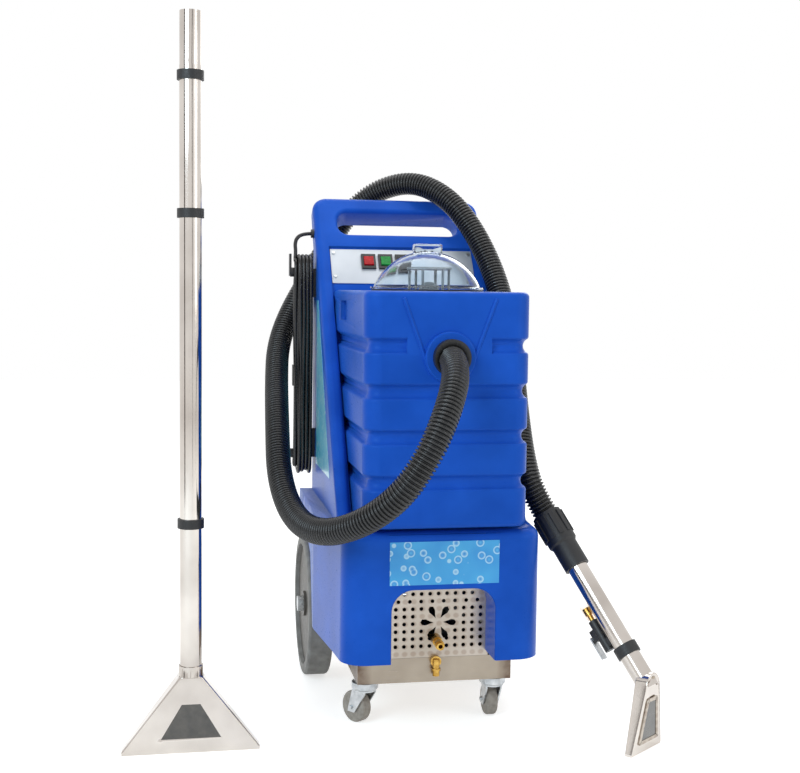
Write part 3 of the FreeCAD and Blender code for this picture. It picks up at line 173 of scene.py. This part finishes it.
# rotomoulded polyethylene: deep blue, satin, with a faint orange peel from the mould
rotoBlue = finishFrom("rotomoulded polyethylene blue", [(0.3, "#1A4FB6"), (0.7, "#215BC9")], (0.27, 0.36), 4,
                      (0.12, 0.4), drift=90, **{"IOR": 1.51, "Specular IOR Level": 0.16,
                                                "Specular Tint": hexColour("#8FC4FF"), "Sheen Weight": 0.22,
                                                "Sheen Roughness": 0.35, "Sheen Tint": hexColour("#3F9BF5")})
# anodised aluminium plate of the panel: pale and nearly matt
panelAluminium = brushedSteel("brushed anodised aluminium", [(0.3, "#B9BEC4"), (0.7, "#CDD1D6")], (0.34, 0.5), 0, 0.35)
# stainless sheet: 2B finish with a warm cast
stainlessSheet = brushedSteel("stainless steel sheet 2B", [(0.3, "#9C9081"), (0.7, "#B9AE9F")], (0.26, 0.42), 0, 0.9)
# polished stainless tube: near mirror, pale
polishedTube = brushedSteel("polished stainless tube", [(0.3, "#BDB5AE"), (0.7, "#DAD3CC")], (0.07, 0.16), 2)
# zinc plate on the forks: bright and cool with cloudy patches
zincPlate = finishFrom("zinc plated steel", [(0.3, "#A9ADB0"), (0.7, "#D3D5D6")], (0.25, 0.45), 5, (0.1, 0.2), 1.0,
                       drift=14)
# turned brass: yellow with a little tarnish
turnedBrass = finishFrom("turned brass", [(0.3, "#A67C35"), (0.7, "#D9B260")], (0.18, 0.36), 2, (0.1, 0.1), 1.0,
                         drift=9)
# ABS mouldings: black, spark-eroded texture
blackAbs = finishFrom("moulded black ABS", [(0.3, "#141416"), (0.7, "#1E1F21")], (0.35, 0.5), 1.6, (0.2, 0.2),
                      drift=25, **{"IOR": 1.53})
# flexible PVC of cuffs and collars: black with a soft sheen
blackPvc = finishFrom("flexible black PVC", [(0.3, "#121214"), (0.7, "#1F2022")], (0.42, 0.6), 2.4, (0.25, 0.3),
                      drift=30, **{"IOR": 1.53})
# EVA hose: smooth, glossy crests
hosePlastic = finishFrom("extruded EVA hose black", [(0.3, "#151516"), (0.7, "#222325")], (0.2, 0.34), 3, (0.1, 0.2),
                         drift=45, **{"IOR": 1.5})
# rubber sheath of the mains cord
cordRubber = finishFrom("rubber cord sheath", [(0.3, "#0E0E0F"), (0.7, "#19191B")], (0.2, 0.32), 1.8, (0.15, 0.15),
                        drift=25, **{"IOR": 1.52})
# solid grey rubber: dusty and matt
greyTyre = finishFrom("solid grey rubber tyre", [(0.3, "#7E7C79"), (0.7, "#9A9894")], (0.6, 0.8), 2.2, (0.35, 0.3),
                      drift=22)
# non-marking caster rubber: browner and worn
casterTyre = finishFrom("caster rubber", [(0.3, "#8D857B"), (0.7, "#A9A197")], (0.5, 0.7), 2, (0.3, 0.3), drift=8)
# glass-filled nylon hubs: dark grey
nylonHub = finishFrom("glass-filled nylon hub", [(0.3, "#47433E"), (0.7, "#5C5751")], (0.4, 0.55), 2, (0.25, 0.25),
                      drift=18)
greyPipe = finishFrom("extruded grey PVC", [(0.3, "#8C9093"), (0.7, "#A4A8AA")], (0.3, 0.42), 3, (0.1, 0.2), drift=30)
# polycarbonate rockers, lit through: saturated
redRocker = finishFrom("red polycarbonate rocker", [(0.3, "#A80C14"), (0.7, "#CC1620")], (0.2, 0.3), 3, (0.05, 0.1),
                       drift=9, **{"Specular IOR Level": 0.25})
greenRocker = finishFrom("green polycarbonate rocker", [(0.3, "#0A7A2E"), (0.7, "#129A3E")], (0.2, 0.3), 3,
                         (0.05, 0.1), drift=9, **{"Specular IOR Level": 0.25})
motorPaint = finishFrom("stove enamelled motor shell", [(0.3, "#1E2124"), (0.7, "#30343A")], (0.3, 0.42), 2.5,
                        (0.15, 0.2), drift=30)
clearSleeve = clearPlastic("clear nylon hose sleeve", ("#F2E6DE", "#FBF4EE"), 0.05, 1.2)
clearDome = clearPlastic("clear polycarbonate dome", ("#E4F0F8", "#F4FAFD"), 0.02, 1.25)
smokedPane = finishFrom("smoked polycarbonate pane", [(0.3, "#3A3733"), (0.7, "#57524B")], (0.08, 0.18), 4,
                        (0.05, 0.2), drift=20, **{"Coat Weight": 0.6})
frontFilm = bubbleFilm("printed vinyl film blue", [(0.0, "#5CC4F4"), (0.2, "#2A8FDC"), (0.31, "#BFE9FB")], 21,
                       [(0.3, "#1B93DE"), (0.7, "#3FB4EC")])
sideFilm = bubbleFilm("printed vinyl film cyan", [(0.0, "#36B4E4"), (0.22, "#58CDF0"), (0.32, "#D8F6FD")], 16,
                      [(0.3, "#33BCE6"), (0.7, "#86DFF5")])


def addTint(material, fac, tone):
    # mixes a second colour over a finish by a factor
    tree = material.node_tree
    surface = [node for node in tree.nodes if node.type == "BSDF_PRINCIPLED"][0]
    under = surface.inputs["Base Color"].links[0].from_socket
    mixed = addNode(tree, "ShaderNodeMix", {"Factor": fac}, data_type="RGBA")
    tree.links.new(under, mixed.inputs[6])
    mixed.inputs[7].default_value = hexColour(tone)
    tree.links.new(mixed.outputs[2], surface.inputs["Base Color"])


# the tray's folded corners keep a brown bloom from welding
weldedTray = brushedSteel("welded stainless tray", [(0.3, "#94887A"), (0.7, "#B2A696")], (0.26, 0.42), 0, 0.85)
tree = weldedTray.node_tree
spot = addNode(tree, "ShaderNodeTexCoord").outputs["Object"]
axes = addNode(tree, "ShaderNodeSeparateXYZ", {"Vector": spot})
aside = addNode(tree, "ShaderNodeMath", {0: axes.outputs["X"]}, operation="ABSOLUTE")
smoke = addNode(tree, "ShaderNodeTexNoise", {"Vector": spot, "Scale": 60.0, "Detail": 3.0})
edge = addNode(tree, "ShaderNodeMapRange", {
    "Value": aside.outputs[0], "From Min": 0.118, "From Max": 0.143, "To Min": 0.0, "To Max": 1.3})
bloom = addNode(tree, "ShaderNodeMath", {0: edge.outputs["Result"], 1: smoke.outputs["Fac"]}, operation="MULTIPLY")
addTint(weldedTray, bloom.outputs[0], "#4A2A14")
# laser-cut grille: each hole has a burnt rim, on a 16 by 14 mm grid
cutGrille = brushedSteel("laser-cut stainless grille", [(0.3, "#A89D90"), (0.7, "#C4BAAE")], (0.26, 0.42), 0, 0.85)
tree = cutGrille.node_tree
spot = addNode(tree, "ShaderNodeTexCoord").outputs["Object"]
grid = addNode(tree, "ShaderNodeMapping", {
    "Vector": spot, "Location": (-6.6 / 16, 0, -256 / 14), "Scale": (1000 / 16, 0, 1000 / 14)})
rims = addNode(tree, "ShaderNodeTexVoronoi", {"Vector": grid.outputs["Vector"], "Scale": 1.0, "Randomness": 0.0})
burn = addNode(tree, "ShaderNodeMapRange", {
    "Value": rims.outputs["Distance"], "From Min": 0.24, "From Max": 0.42, "To Min": 0.3, "To Max": 0.0})
addTint(cutGrille, burn.outputs["Result"], "#6B4326")

# every CAD node gets the finish of its real material
finishes = {
    "main_body": rotoBlue, "recovery_tank": rotoBlue, "inlet_ring": rotoBlue, "control_panel": panelAluminium,
    "panel_screws": zincPlate, "switch_housings": blackAbs, "rocker_pump": redRocker, "rocker_vacuum": greenRocker,
    "rocker_booster": blackAbs, "tank_seal": blackPvc, "dome_seal": blackPvc, "air_pipe": greyPipe,
    "float_cage": greyPipe, "float_ball": greyPipe, "dome_lid": clearDome, "chassis_tray": weldedTray,
    "front_grille": cutGrille, "rear_axle": stainlessSheet, "axle_brackets": stainlessSheet,
    "tyre_left": greyTyre, "tyre_right": greyTyre, "wheel_hub_left": nylonHub, "wheel_hub_right": nylonHub,
    "axle_caps": zincPlate, "caster_fork_left": zincPlate, "caster_fork_right": zincPlate,
    "caster_plates": zincPlate, "caster_wheel_left": casterTyre, "caster_wheel_right": casterTyre,
    "solution_coupling": turnedBrass, "drain_coupling": turnedBrass, "front_label": frontFilm,
    "side_label": sideFilm, "filler_cap": blackAbs, "cord_hooks": blackAbs, "vacuum_motors": motorPaint,
    "vacuum_rotor_left": stainlessSheet, "vacuum_rotor_right": stainlessSheet, "solution_pump": motorPaint,
    "solution_line": cordRubber, "terminal_box": greyPipe, "hose_cuff": blackPvc, "tool_cuff": blackPvc,
    "tool_tube": polishedTube, "tool_strap": blackPvc, "tool_valve": blackAbs, "tool_fitting": turnedBrass,
    "tool_trigger": zincPlate, "tool_head": polishedTube, "tool_window": smokedPane, "wand_tube": polishedTube,
    "wand_collars": blackPvc, "wand_head": polishedTube, "wand_window": smokedPane, "wand_line": cordRubber,
    "cord_gland": blackPvc, "mains_lead": cordRubber, "cord_hank": cordRubber, "vacuum_hose": hosePlastic,
    "mains_plug": blackPvc,
}
for nodeName, node in frame["nodes"].items():
    node.data.materials.clear()
    node.data.materials.append(finishes[nodeName])


def bodyOf(nodeName):
    for body, members in frame["record"]["behaviour"]["bodies"].items():
        if nodeName in members:
            return body


def smoothMesh(mesh, angle=30):
    mesh.shade_smooth()
    mesh.set_sharp_from_angle(angle=math.radians(angle))
    return mesh


def newPiece(name, bm, material, like, angle=30):
    # a finished mesh that rides with the CAD node it belongs to
    bmesh.ops.recalc_face_normals(bm, faces=bm.faces)
    mesh = bpy.data.meshes.new(name)
    bm.to_mesh(mesh)
    bm.free()
    smoothMesh(mesh, angle)
    mesh.materials.append(material)
    piece = bpy.data.objects.new(name, mesh)
    bpy.context.scene.collection.objects.link(piece)
    weigh = piece.modifiers.new("weigh", "WEIGHTED_NORMAL")
    weigh.keep_sharp = True
    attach(piece, bodyOf(like))
    return piece


def roundedCopy(nodeName, name, angle=32):
    # the CAD node's own mesh, merged and shaded smooth over its rounded edges
    bm = bmesh.new()
    bm.from_mesh(frame["nodes"][nodeName].data)
    bmesh.ops.remove_doubles(bm, verts=bm.verts, dist=0.01 * mm)
    mesh = bpy.data.meshes.new(name)
    bm.to_mesh(mesh)
    bm.free()
    smoothMesh(mesh, angle)
    mesh.materials.clear()
    mesh.materials.append(finishes[nodeName])
    piece = bpy.data.objects.new(name, mesh)
    bpy.context.scene.collection.objects.link(piece)
    weigh = piece.modifiers.new("weigh", "WEIGHTED_NORMAL")
    weigh.keep_sharp = True
    weigh.weight = 80
    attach(piece, bodyOf(nodeName))
    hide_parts(nodeName)
    return piece


print("camera and light")
view = {"lens": 57.37, "place": (-0.4912, -2.2638, 0.8143), "turn": 10.49, "down": 4.35, "roll": 0.67}
cameraData = bpy.data.cameras.new("camera")
cameraData.lens = view["lens"]
cameraData.clip_end = 60
camera = bpy.data.objects.new("camera", cameraData)
bpy.context.scene.collection.objects.link(camera)
turned = (Matrix.Rotation(math.radians(-view["turn"]), 4, "Z")
          @ Matrix.Rotation(math.radians(90 - view["down"]), 4, "X")
          @ Matrix.Rotation(math.radians(view["roll"]), 4, "Z"))
camera.matrix_world = Matrix.Translation(view["place"]) @ turned
bpy.context.scene.camera = camera

# a large soft key from the left, a weaker fill from the right and a soft one overhead
lamps = {
    "key": {"place": (-2.3, -2.3, 2.2), "size": 1.7, "power": 58, "colour": (0.7, 0.88, 1.0)},  # cool, like daylight
    "fill": {"place": (2.6, -2.0, 1.5), "size": 1.6, "power": 20},
    "top": {"place": (0.2, 0.6, 3.2), "size": 2.0, "power": 26},
    "back": {"place": (1.2, 2.8, 2.0), "size": 1.6, "power": 18},
}
for name, lamp in lamps.items():
    data = bpy.data.lights.new(name, "AREA")
    data.shape = "SQUARE"
    data.size = lamp["size"]
    data.energy = lamp["power"]
    data.color = lamp.get("colour", (1, 1, 1))
    light = bpy.data.objects.new(name, data)
    light.location = lamp["place"]
    light.rotation_euler = (Vector((0, 0.15, 0.55)) - Vector(lamp["place"])).to_track_quat("-Z", "Y").to_euler()
    bpy.context.scene.collection.objects.link(light)


def shownRays(tree):
    # 1 for rays that look at the white background: from the camera, a mirror or clear plastic
    path = addNode(tree, "ShaderNodeLightPath")
    both = addNode(tree, "ShaderNodeMath", {0: path.outputs["Is Camera Ray"], 1: path.outputs["Is Glossy Ray"]},
                   operation="MAXIMUM")
    return addNode(tree, "ShaderNodeMath", {0: both.outputs[0], 1: path.outputs["Is Transmission Ray"]},
                   operation="MAXIMUM").outputs[0]


world = bpy.data.worlds.new("studio")
bpy.context.scene.world = world
world.use_nodes = True
tree = world.node_tree
tree.nodes.clear()
strength = addNode(tree, "ShaderNodeMapRange", {"Value": shownRays(tree), "To Min": 0.5, "To Max": 1.0})
sky = addNode(tree, "ShaderNodeBackground", {"Color": (1, 1, 1, 1), "Strength": strength.outputs["Result"]})
addNode(tree, "ShaderNodeOutputWorld", {"Surface": sky.outputs["Background"]})
bpy.context.scene.view_settings.view_transform = "Standard"

# matt white floor that still takes the shadow
floorPaint, tree, surface, place = startMaterial("matt white floor")
surface.inputs["Base Color"].default_value = hexColour("#E6E6E4")
surface.inputs["Roughness"].default_value = 0.9
lift = addNode(tree, "ShaderNodeMath", {0: shownRays(tree), 1: 0.62}, operation="MULTIPLY")
surface.inputs["Emission Color"].default_value = (1, 1, 1, 1)
tree.links.new(lift.outputs[0], surface.inputs["Emission Strength"])
bm = bmesh.new()
bmesh.ops.create_grid(bm, x_segments=2, y_segments=2, size=9)
mesh = bpy.data.meshes.new("floor")
bm.to_mesh(mesh)
bm.free()
mesh.materials.append(floorPaint)
floor = bpy.data.objects.new("floor", mesh)
bpy.context.scene.collection.objects.link(floor)


# dark cards beside the camera, seen only in mirror finishes, give polished steel its bands
cards = {
    "cardLeft": {"place": (-2.9, -1.2, 0.9), "size": (0.5, 2.4), "tone": "#3A2E26"},
    "cardRight": {"place": (2.4, -1.7, 0.9), "size": (0.45, 2.4), "tone": "#453A32"},
    "cardFront": {"place": (0.5, -3.2, 1.0), "size": (0.34, 2.6), "tone": "#5A5048"},
}
for name, card in cards.items():
    cardPaint, tree, surface, place = startMaterial(name + " paper")
    surface.inputs["Base Color"].default_value = hexColour(card["tone"])
    surface.inputs["Roughness"].default_value = 1.0
    bm = bmesh.new()
    facing = (Vector((0, 0, 0.9)) - Vector(card["place"])).to_track_quat("Z", "Y").to_matrix().to_4x4()
    bmesh.ops.create_grid(bm, x_segments=1, y_segments=1, size=0.5, matrix=Matrix.Diagonal((*card["size"], 1, 1)))
    bmesh.ops.transform(bm, verts=bm.verts, matrix=Matrix.Translation(card["place"]) @ facing)
    mesh = bpy.data.meshes.new(name)
    bm.to_mesh(mesh)
    bm.free()
    mesh.materials.append(cardPaint)
    paper = bpy.data.objects.new(name, mesh)
    bpy.context.scene.collection.objects.link(paper)
    paper.visible_camera = False
    paper.visible_diffuse = False
    paper.visible_shadow = False


def softLine(name, points, resolution=16):
    # one open NURBS spline through the route's points as control points
    curve = bpy.data.curves.new(name, "CURVE")
    curve.dimensions = "3D"
    curve.resolution_u = resolution
    curve.twist_mode = "MINIMUM"
    spline = curve.splines.new("NURBS")
    spline.points.add(len(points) - 1)
    for point, spot in zip(spline.points, points):
        point.co = (*[value * mm for value in spot], 1)
    spline.order_u = 3
    spline.use_endpoint_u = True
    line = bpy.data.objects.new(name, curve)
    bpy.context.scene.collection.objects.link(line)
    return line


def pointsAlong(line):
    # the points of the line's own smooth path
    bpy.context.view_layer.update()
    mesh = bpy.data.meshes.new_from_object(line.evaluated_get(bpy.context.evaluated_depsgraph_get()))
    points = [vertex.co.copy() for vertex in mesh.vertices]
    bpy.data.meshes.remove(mesh)
    return points


def lengthOf(points):
    return sum((b - a).length for a, b in zip(points, points[1:]))


print("hose")
hose = {
    "route": [(0, -100, 697), (-4, -166, 682), (-28, -222, 626), (-66, -250, 548), (-114, -240, 474),
              (-172, -184, 420), (-226, -96, 390), (-262, 10, 398), (-280, 120, 455), (-274, 230, 545),
              (-266, 345, 625), (-256, 432, 692), (-226, 494, 760), (-178, 526, 840), (-134, 548, 914),
              (-88, 556, 984), (-28, 534, 1034), (44, 484, 1050), (106, 424, 1012), (150, 380, 946),
              (180, 336, 868), (195, 288, 790), (196, 232, 710), (190, 174, 632), (183, 114, 556),
              (182, 66, 488), (193, 40, 436), (219, 34, 392)],
    "radius": 24, "groove": 4.4, "pitch": 7.0, "sides": 24,
}
hoseLine = softLine("hoseLine", hose["route"], 24)
hosePath = pointsAlong(hoseLine)
hoseLength = lengthOf(hosePath)
rings = int(hoseLength / (hose["pitch"] * mm))
pitch = hoseLength / rings
# one ring's profile, as parts of a pitch and of the groove's depth
profile = [(0.0, 1.0), (0.2, 0.96), (0.28, 0.4), (0.38, 0.06), (0.58, 0.0), (0.74, 0.08), (0.84, 0.45), (1.0, 1.0)]
bm = bmesh.new()
inner = (hose["radius"] - hose["groove"]) * mm
bmesh.ops.create_circle(bm, segments=hose["sides"], radius=inner,
                        matrix=Matrix.Rotation(math.pi / 2, 4, "Y"))
edges = bm.edges[:]
before = profile[0]
for step in profile[1:]:
    grown = bmesh.ops.extrude_edge_only(bm, edges=edges)["geom"]
    verts = [g for g in grown if isinstance(g, bmesh.types.BMVert)]
    edges = [g for g in grown if isinstance(g, bmesh.types.BMEdge)]
    was = (hose["radius"] - hose["groove"] * before[1]) * mm
    now = (hose["radius"] - hose["groove"] * step[1]) * mm
    bmesh.ops.scale(bm, verts=verts, vec=(1, now / was, now / was))
    bmesh.ops.translate(bm, verts=verts, vec=((step[0] - before[0]) * pitch, 0, 0))
    before = step
bmesh.ops.recalc_face_normals(bm, faces=bm.faces)
mesh = bpy.data.meshes.new("hoseRing")
bm.to_mesh(mesh)
bm.free()
maker = bpy.data.objects.new("hoseRing", mesh)
bpy.context.scene.collection.objects.link(maker)
array = maker.modifiers.new("rings", "ARRAY")
array.count = rings
array.use_relative_offset = False
array.use_constant_offset = True
array.constant_offset_displace = (pitch, 0, 0)
array.use_merge_vertices = True
array.merge_threshold = 0.05 * mm
follow = maker.modifiers.new("follow", "CURVE")
follow.object = hoseLine
follow.deform_axis = "POS_X"
bpy.context.view_layer.update()
mesh = bpy.data.meshes.new_from_object(maker.evaluated_get(bpy.context.evaluated_depsgraph_get()))
mesh.name = "suctionHose"
mesh.materials.clear()
mesh.materials.append(hosePlastic)
mesh.shade_smooth()
suctionHose = bpy.data.objects.new("suctionHose", mesh)
bpy.context.scene.collection.objects.link(suctionHose)
bpy.data.objects.remove(maker)
bpy.data.objects.remove(hoseLine)
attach(suctionHose, bodyOf("vacuum_hose"))
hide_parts("vacuum_hose")
print("hose", round(hoseLength, 4), rings, "rings")


print("mains cord")
cord = {
    "lead": [(-186, 440, 930), (-204, 440, 929), (-217, 436, 920), (-221, 428, 906), (-220, 421, 893)],
    "radius": 4, "hooks": (405, 458.3, 857.7), "turns": 9, "columns": 5, "reach": 15.5, "layer": 8.2,
    "spread": (-192, -222),
}
# each turn goes over the top hook, down, under the lower hook and up again
hookY, lowZ, highZ = cord["hooks"]
route = list(cord["lead"])
last = cord["columns"] - 1
width = cord["spread"][0] - cord["spread"][1]
for turn in range(cord["turns"]):
    layer, column = divmod(turn, cord["columns"])
    backward = layer % 2 == 1
    column = last - column if backward else column
    x = cord["spread"][1] + column * width / last
    step = width / last * (-1 if backward else 1)
    reach = cord["reach"] + layer * cord["layer"]
    loose = [random.uniform(-1, 1) for _ in range(6)]
    droop = 3 * (turn % 3)
    low = lowZ - droop
    route += [(x, hookY + reach * 0.6, highZ + reach * 0.85), (x, hookY, highZ + reach * 1.1),
              (x, hookY - reach * 0.75, highZ + reach * 0.75), (x, hookY - reach * 1.05, highZ - 6),
              (x + 3 * loose[0], hookY - reach - 3 - 3 * loose[1], highZ - 120),
              (x + 3 * loose[2], hookY - reach - 4 - 3 * loose[3], low + 160),
              (x, hookY - reach * 1.05, low + 8), (x, hookY - reach * 0.75, low - reach * 0.75),
              (x, hookY, low - reach * 1.1), (x, hookY + reach * 0.75, low - reach * 0.75),
              (x + step * 0.3, hookY + reach * 1.05, low + 8),
              (x + step * 0.4 + 3 * loose[4], hookY + reach + 3 + 2 * loose[5], low + 150),
              (x + step * 0.6 + 3 * loose[1], hookY + reach + 3 - 2 * loose[2], highZ - 130),
              (x + step * 0.8, hookY + reach * 1.05, highZ - 6)]
route += [(-214, 424, 840), (-211, 438, 780), (-208, 442, 716), (-207, 442.6, 680), (-207, 442.6, 642)]
mainsCord = softLine("mainsCord", route, 8)
cordPath = pointsAlong(mainsCord)
print("cord", round(lengthOf(cordPath), 4))
mainsCord.data.bevel_depth = cord["radius"] * mm
mainsCord.data.bevel_resolution = 3
mainsCord.data.use_fill_caps = True
mainsCord.data.materials.append(cordRubber)
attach(mainsCord, bodyOf("cord_hank"))
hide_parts("mains_lead", "cord_hank")


print("rounded bodies")
for nodeName in ("main_body", "recovery_tank", "inlet_ring", "dome_lid", "hose_cuff", "tool_cuff", "wand_head",
                 "tool_tube", "wand_tube", "wand_collars", "tyre_left", "tyre_right"):
    roundedCopy(nodeName, "fine_" + nodeName)

print("tank lines")
# two raised lines run from the tank's top edge down to the inlet, on its front face
shield = {"top": (83, 800), "foot": (34, 668), "face": -88, "wide": 6.4, "proud": 3.2}
for side, name in ((-1, "shieldLineLeft"), (1, "shieldLineRight")):
    start = Vector((side * shield["top"][0], 0, shield["top"][1])) * mm
    end = Vector((side * shield["foot"][0], 0, shield["foot"][1])) * mm
    bm = bmesh.new()
    bmesh.ops.create_cone(bm, cap_ends=True, segments=16, radius1=shield["wide"] * mm / 2,
                          radius2=shield["wide"] * mm / 2, depth=(end - start).length)
    bmesh.ops.bevel(bm, geom=[e for e in bm.edges if abs(e.verts[0].co.z - e.verts[1].co.z) < 1e-6],
                    offset=1.0 * mm, segments=3, affect="EDGES", profile=0.5, material=-1)
    turned = (end - start).to_track_quat("Z", "Y").to_matrix().to_4x4()
    spot = (start + end) / 2 + Vector((0, (shield["face"] + shield["wide"] / 2 - shield["proud"]) * mm, 0))
    bmesh.ops.transform(bm, verts=bm.verts, matrix=Matrix.Translation(spot) @ turned)
    newPiece(name, bm, rotoBlue, "recovery_tank")


print("hand tool head")
toolHead = {"spot": (348, -158), "across": (0.773, 0.634, 0), "foot": 104, "shoulder": (50, 116),
            "top": 143, "thin": 14, "thick": 34, "window": ((55, 24), (22, 92)), "frame": 7}
across = Vector(toolHead["across"]).normalized()
toward = Vector((across.y, -across.x, 0))
placing = Matrix((across, -toward, Vector((0, 0, 1)))).transposed().to_4x4()
placing.translation = Vector((*toolHead["spot"], 0)) * mm


def depthAt(z):
    # the head is thin at its lip and as thick as the tube at its shoulder
    return (toolHead["thin"] + (toolHead["thick"] - toolHead["thin"]) * min(z / toolHead["shoulder"][1], 1)) / 2


def upright(bm, corners, depth):
    # a flat outline of (across, height) points, standing up, with its front at -depth(height)
    verts = [bm.verts.new((x * mm, -depth(z) * mm, z * mm)) for x, z in corners]
    return bm.faces.new(verts)


half = toolHead["shoulder"][0] / 2
crown = [(half * math.cos(a), toolHead["shoulder"][1] + (toolHead["top"] - toolHead["shoulder"][1]) * math.sin(a))
         for a in [math.pi * step / 12 for step in range(1, 12)]]
outlineOfHead = ([(-toolHead["foot"] / 2, 0), (toolHead["foot"] / 2, 0), (toolHead["foot"] / 2, 5),
                  (half, toolHead["shoulder"][1])] + crown
                 + [(-half, toolHead["shoulder"][1]), (-toolHead["foot"] / 2, 5)])
bm = bmesh.new()
face = upright(bm, outlineOfHead, depthAt)
grown = bmesh.ops.extrude_face_region(bm, geom=[face])["geom"]
for vert in [g for g in grown if isinstance(g, bmesh.types.BMVert)]:
    vert.co.y = toolHead["thin"] / 2 * mm
rim = [e for e in bm.edges if len(e.link_faces) == 2 and e.calc_face_angle(0) > 0.9]
bmesh.ops.bevel(bm, geom=rim, offset=1.2 * mm, segments=2, affect="EDGES", profile=0.5, material=-1)
bmesh.ops.transform(bm, verts=bm.verts, matrix=placing)
head = newPiece("toolHeadShell", bm, polishedTube, "tool_head", 25)
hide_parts("tool_head")

(wideFoot, low), (wideTop, high) = toolHead["window"]
edge = toolHead["frame"]
border = [(-wideFoot / 2 - edge, low - edge), (wideFoot / 2 + edge, low - edge),
          (wideTop / 2 + edge, high + edge), (-wideTop / 2 - edge, high + edge)]
bm = bmesh.new()
face = upright(bm, border, lambda z: depthAt(z) + 0.1)
bmesh.ops.bevel(bm, geom=bm.verts[:], offset=5 * mm, segments=4, affect="VERTICES", profile=0.5, material=-1)
face = bm.faces[:][0]
bmesh.ops.inset_region(bm, faces=[face], thickness=edge * mm, use_boundary=True, use_even_offset=True)
bmesh.ops.delete(bm, geom=[face], context="FACES")
grown = bmesh.ops.extrude_face_region(bm, geom=bm.faces[:])["geom"]
bmesh.ops.translate(bm, verts=[g for g in grown if isinstance(g, bmesh.types.BMVert)], vec=(0, -2.2 * mm, 0))
rim = [e for e in bm.edges if len(e.link_faces) == 2 and e.calc_face_angle(0) > 0.6
       and min(v.co.y for v in e.verts) < -9 * mm]
bmesh.ops.bevel(bm, geom=rim, offset=0.6 * mm, segments=2, affect="EDGES", profile=0.5, material=-1)
bmesh.ops.transform(bm, verts=bm.verts, matrix=placing)
newPiece("toolWindowFrame", bm, cutGrille, "tool_head")

bm = bmesh.new()
upright(bm, [(-wideFoot / 2 - 1, low - 1), (wideFoot / 2 + 1, low - 1), (wideTop / 2 + 1, high + 1),
             (-wideTop / 2 - 1, high + 1)], lambda z: depthAt(z) + 0.3)
grown = bmesh.ops.extrude_face_region(bm, geom=bm.faces[:])["geom"]
bmesh.ops.translate(bm, verts=[g for g in grown if isinstance(g, bmesh.types.BMVert)], vec=(0, -0.8 * mm, 0))
bmesh.ops.transform(bm, verts=bm.verts, matrix=placing)
pane = newPiece("toolWindowPane", bm, smokedPane, "tool_window")
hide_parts("tool_window")

bm = bmesh.new()
bmesh.ops.create_uvsphere(bm, u_segments=24, v_segments=12, radius=6.5 * mm,
                          matrix=Matrix.Translation((0, -(depthAt(131) + 0.2) * mm, 131 * mm))
                          @ Matrix.Diagonal((1, 0.3, 1, 1)))
bmesh.ops.transform(bm, verts=bm.verts, matrix=placing)
newPiece("toolRivet", bm, stainlessSheet, "tool_head", 60)


print("caster raceways")
raceway = {"across": 123, "back": 50, "rings": [(22, 83.6), (25, 81.5), (25, 70.5), (21, 67), (21, 64.8)]}
for side, node in ((-1, "caster_fork_left"), (1, "caster_fork_right")):
    bm = bmesh.new()
    centre = Vector((side * raceway["across"], raceway["back"], 0))
    loops = []
    for radius, high in raceway["rings"]:
        loops.append([bm.verts.new((centre + Vector((radius * math.cos(a), radius * math.sin(a), high))) * mm)
                      for a in [math.tau * step / 40 for step in range(40)]])
    for upper, lower in zip(loops, loops[1:]):
        for step in range(40):
            bm.faces.new((upper[step], upper[(step + 1) % 40], lower[(step + 1) % 40], lower[step]))
    bm.faces.new(loops[0])
    bm.faces.new(loops[-1][::-1])
    newPiece("raceway" + ("Left" if side < 0 else "Right"), bm, zincPlate, node, 40)

print("cuff grips")
# raised facets round the wide end of the hand tool's cuff
grip = {"count": 10, "wide": 10, "proud": 1.5, "radius": 29, "middle": 28, "long": 46}
cuffAxis = [Vector(spot) * mm for spot in ((219, 34, 392), (257, -20, 314))]
along = (cuffAxis[1] - cuffAxis[0]).normalized()
turned = along.to_track_quat("Z", "Y").to_matrix().to_4x4()
for step in range(grip["count"]):
    bm = bmesh.new()
    bmesh.ops.create_cube(bm, size=1, matrix=Matrix.Diagonal((grip["wide"] * mm, 4 * mm, grip["long"] * mm, 1)))
    bmesh.ops.bevel(bm, geom=bm.edges[:], offset=1.1 * mm, segments=3, affect="EDGES", profile=0.5, material=-1)
    bmesh.ops.translate(bm, verts=bm.verts, vec=(0, (grip["radius"] + grip["proud"] - 2) * mm, grip["middle"] * mm))
    spin = Matrix.Rotation(math.tau * step / grip["count"], 4, "Z")
    bmesh.ops.transform(bm, verts=bm.verts, matrix=Matrix.Translation(cuffAxis[0]) @ turned @ spin)
    newPiece(f"cuffGrip{step}", bm, blackPvc, "tool_cuff")

print("fitting sleeve")
sleeve = {"middle": (275.5, -50.5, 224), "outer": 8.6, "inner": 7.4, "long": 28}
bm = bmesh.new()
loops = []
for radius, high in ((sleeve["outer"], -1), (sleeve["outer"], 1), (sleeve["inner"], 1), (sleeve["inner"], -1)):
    loops.append([bm.verts.new((radius * math.cos(a) * mm, radius * math.sin(a) * mm, high * sleeve["long"] / 2 * mm))
                  for a in [math.tau * step / 32 for step in range(32)]])
for near, far in zip(loops, loops[1:] + loops[:1]):
    for step in range(32):
        bm.faces.new((near[step], near[(step + 1) % 32], far[(step + 1) % 32], far[step]))
tubeAxis = Vector((-0.419, 0.557, 0.719)).to_track_quat("Z", "Y").to_matrix().to_4x4()
bmesh.ops.transform(bm, verts=bm.verts, matrix=Matrix.Translation(Vector(sleeve["middle"]) * mm) @ tubeAxis)
newPiece("fittingSleeve", bm, clearSleeve, "tool_valve", 40)
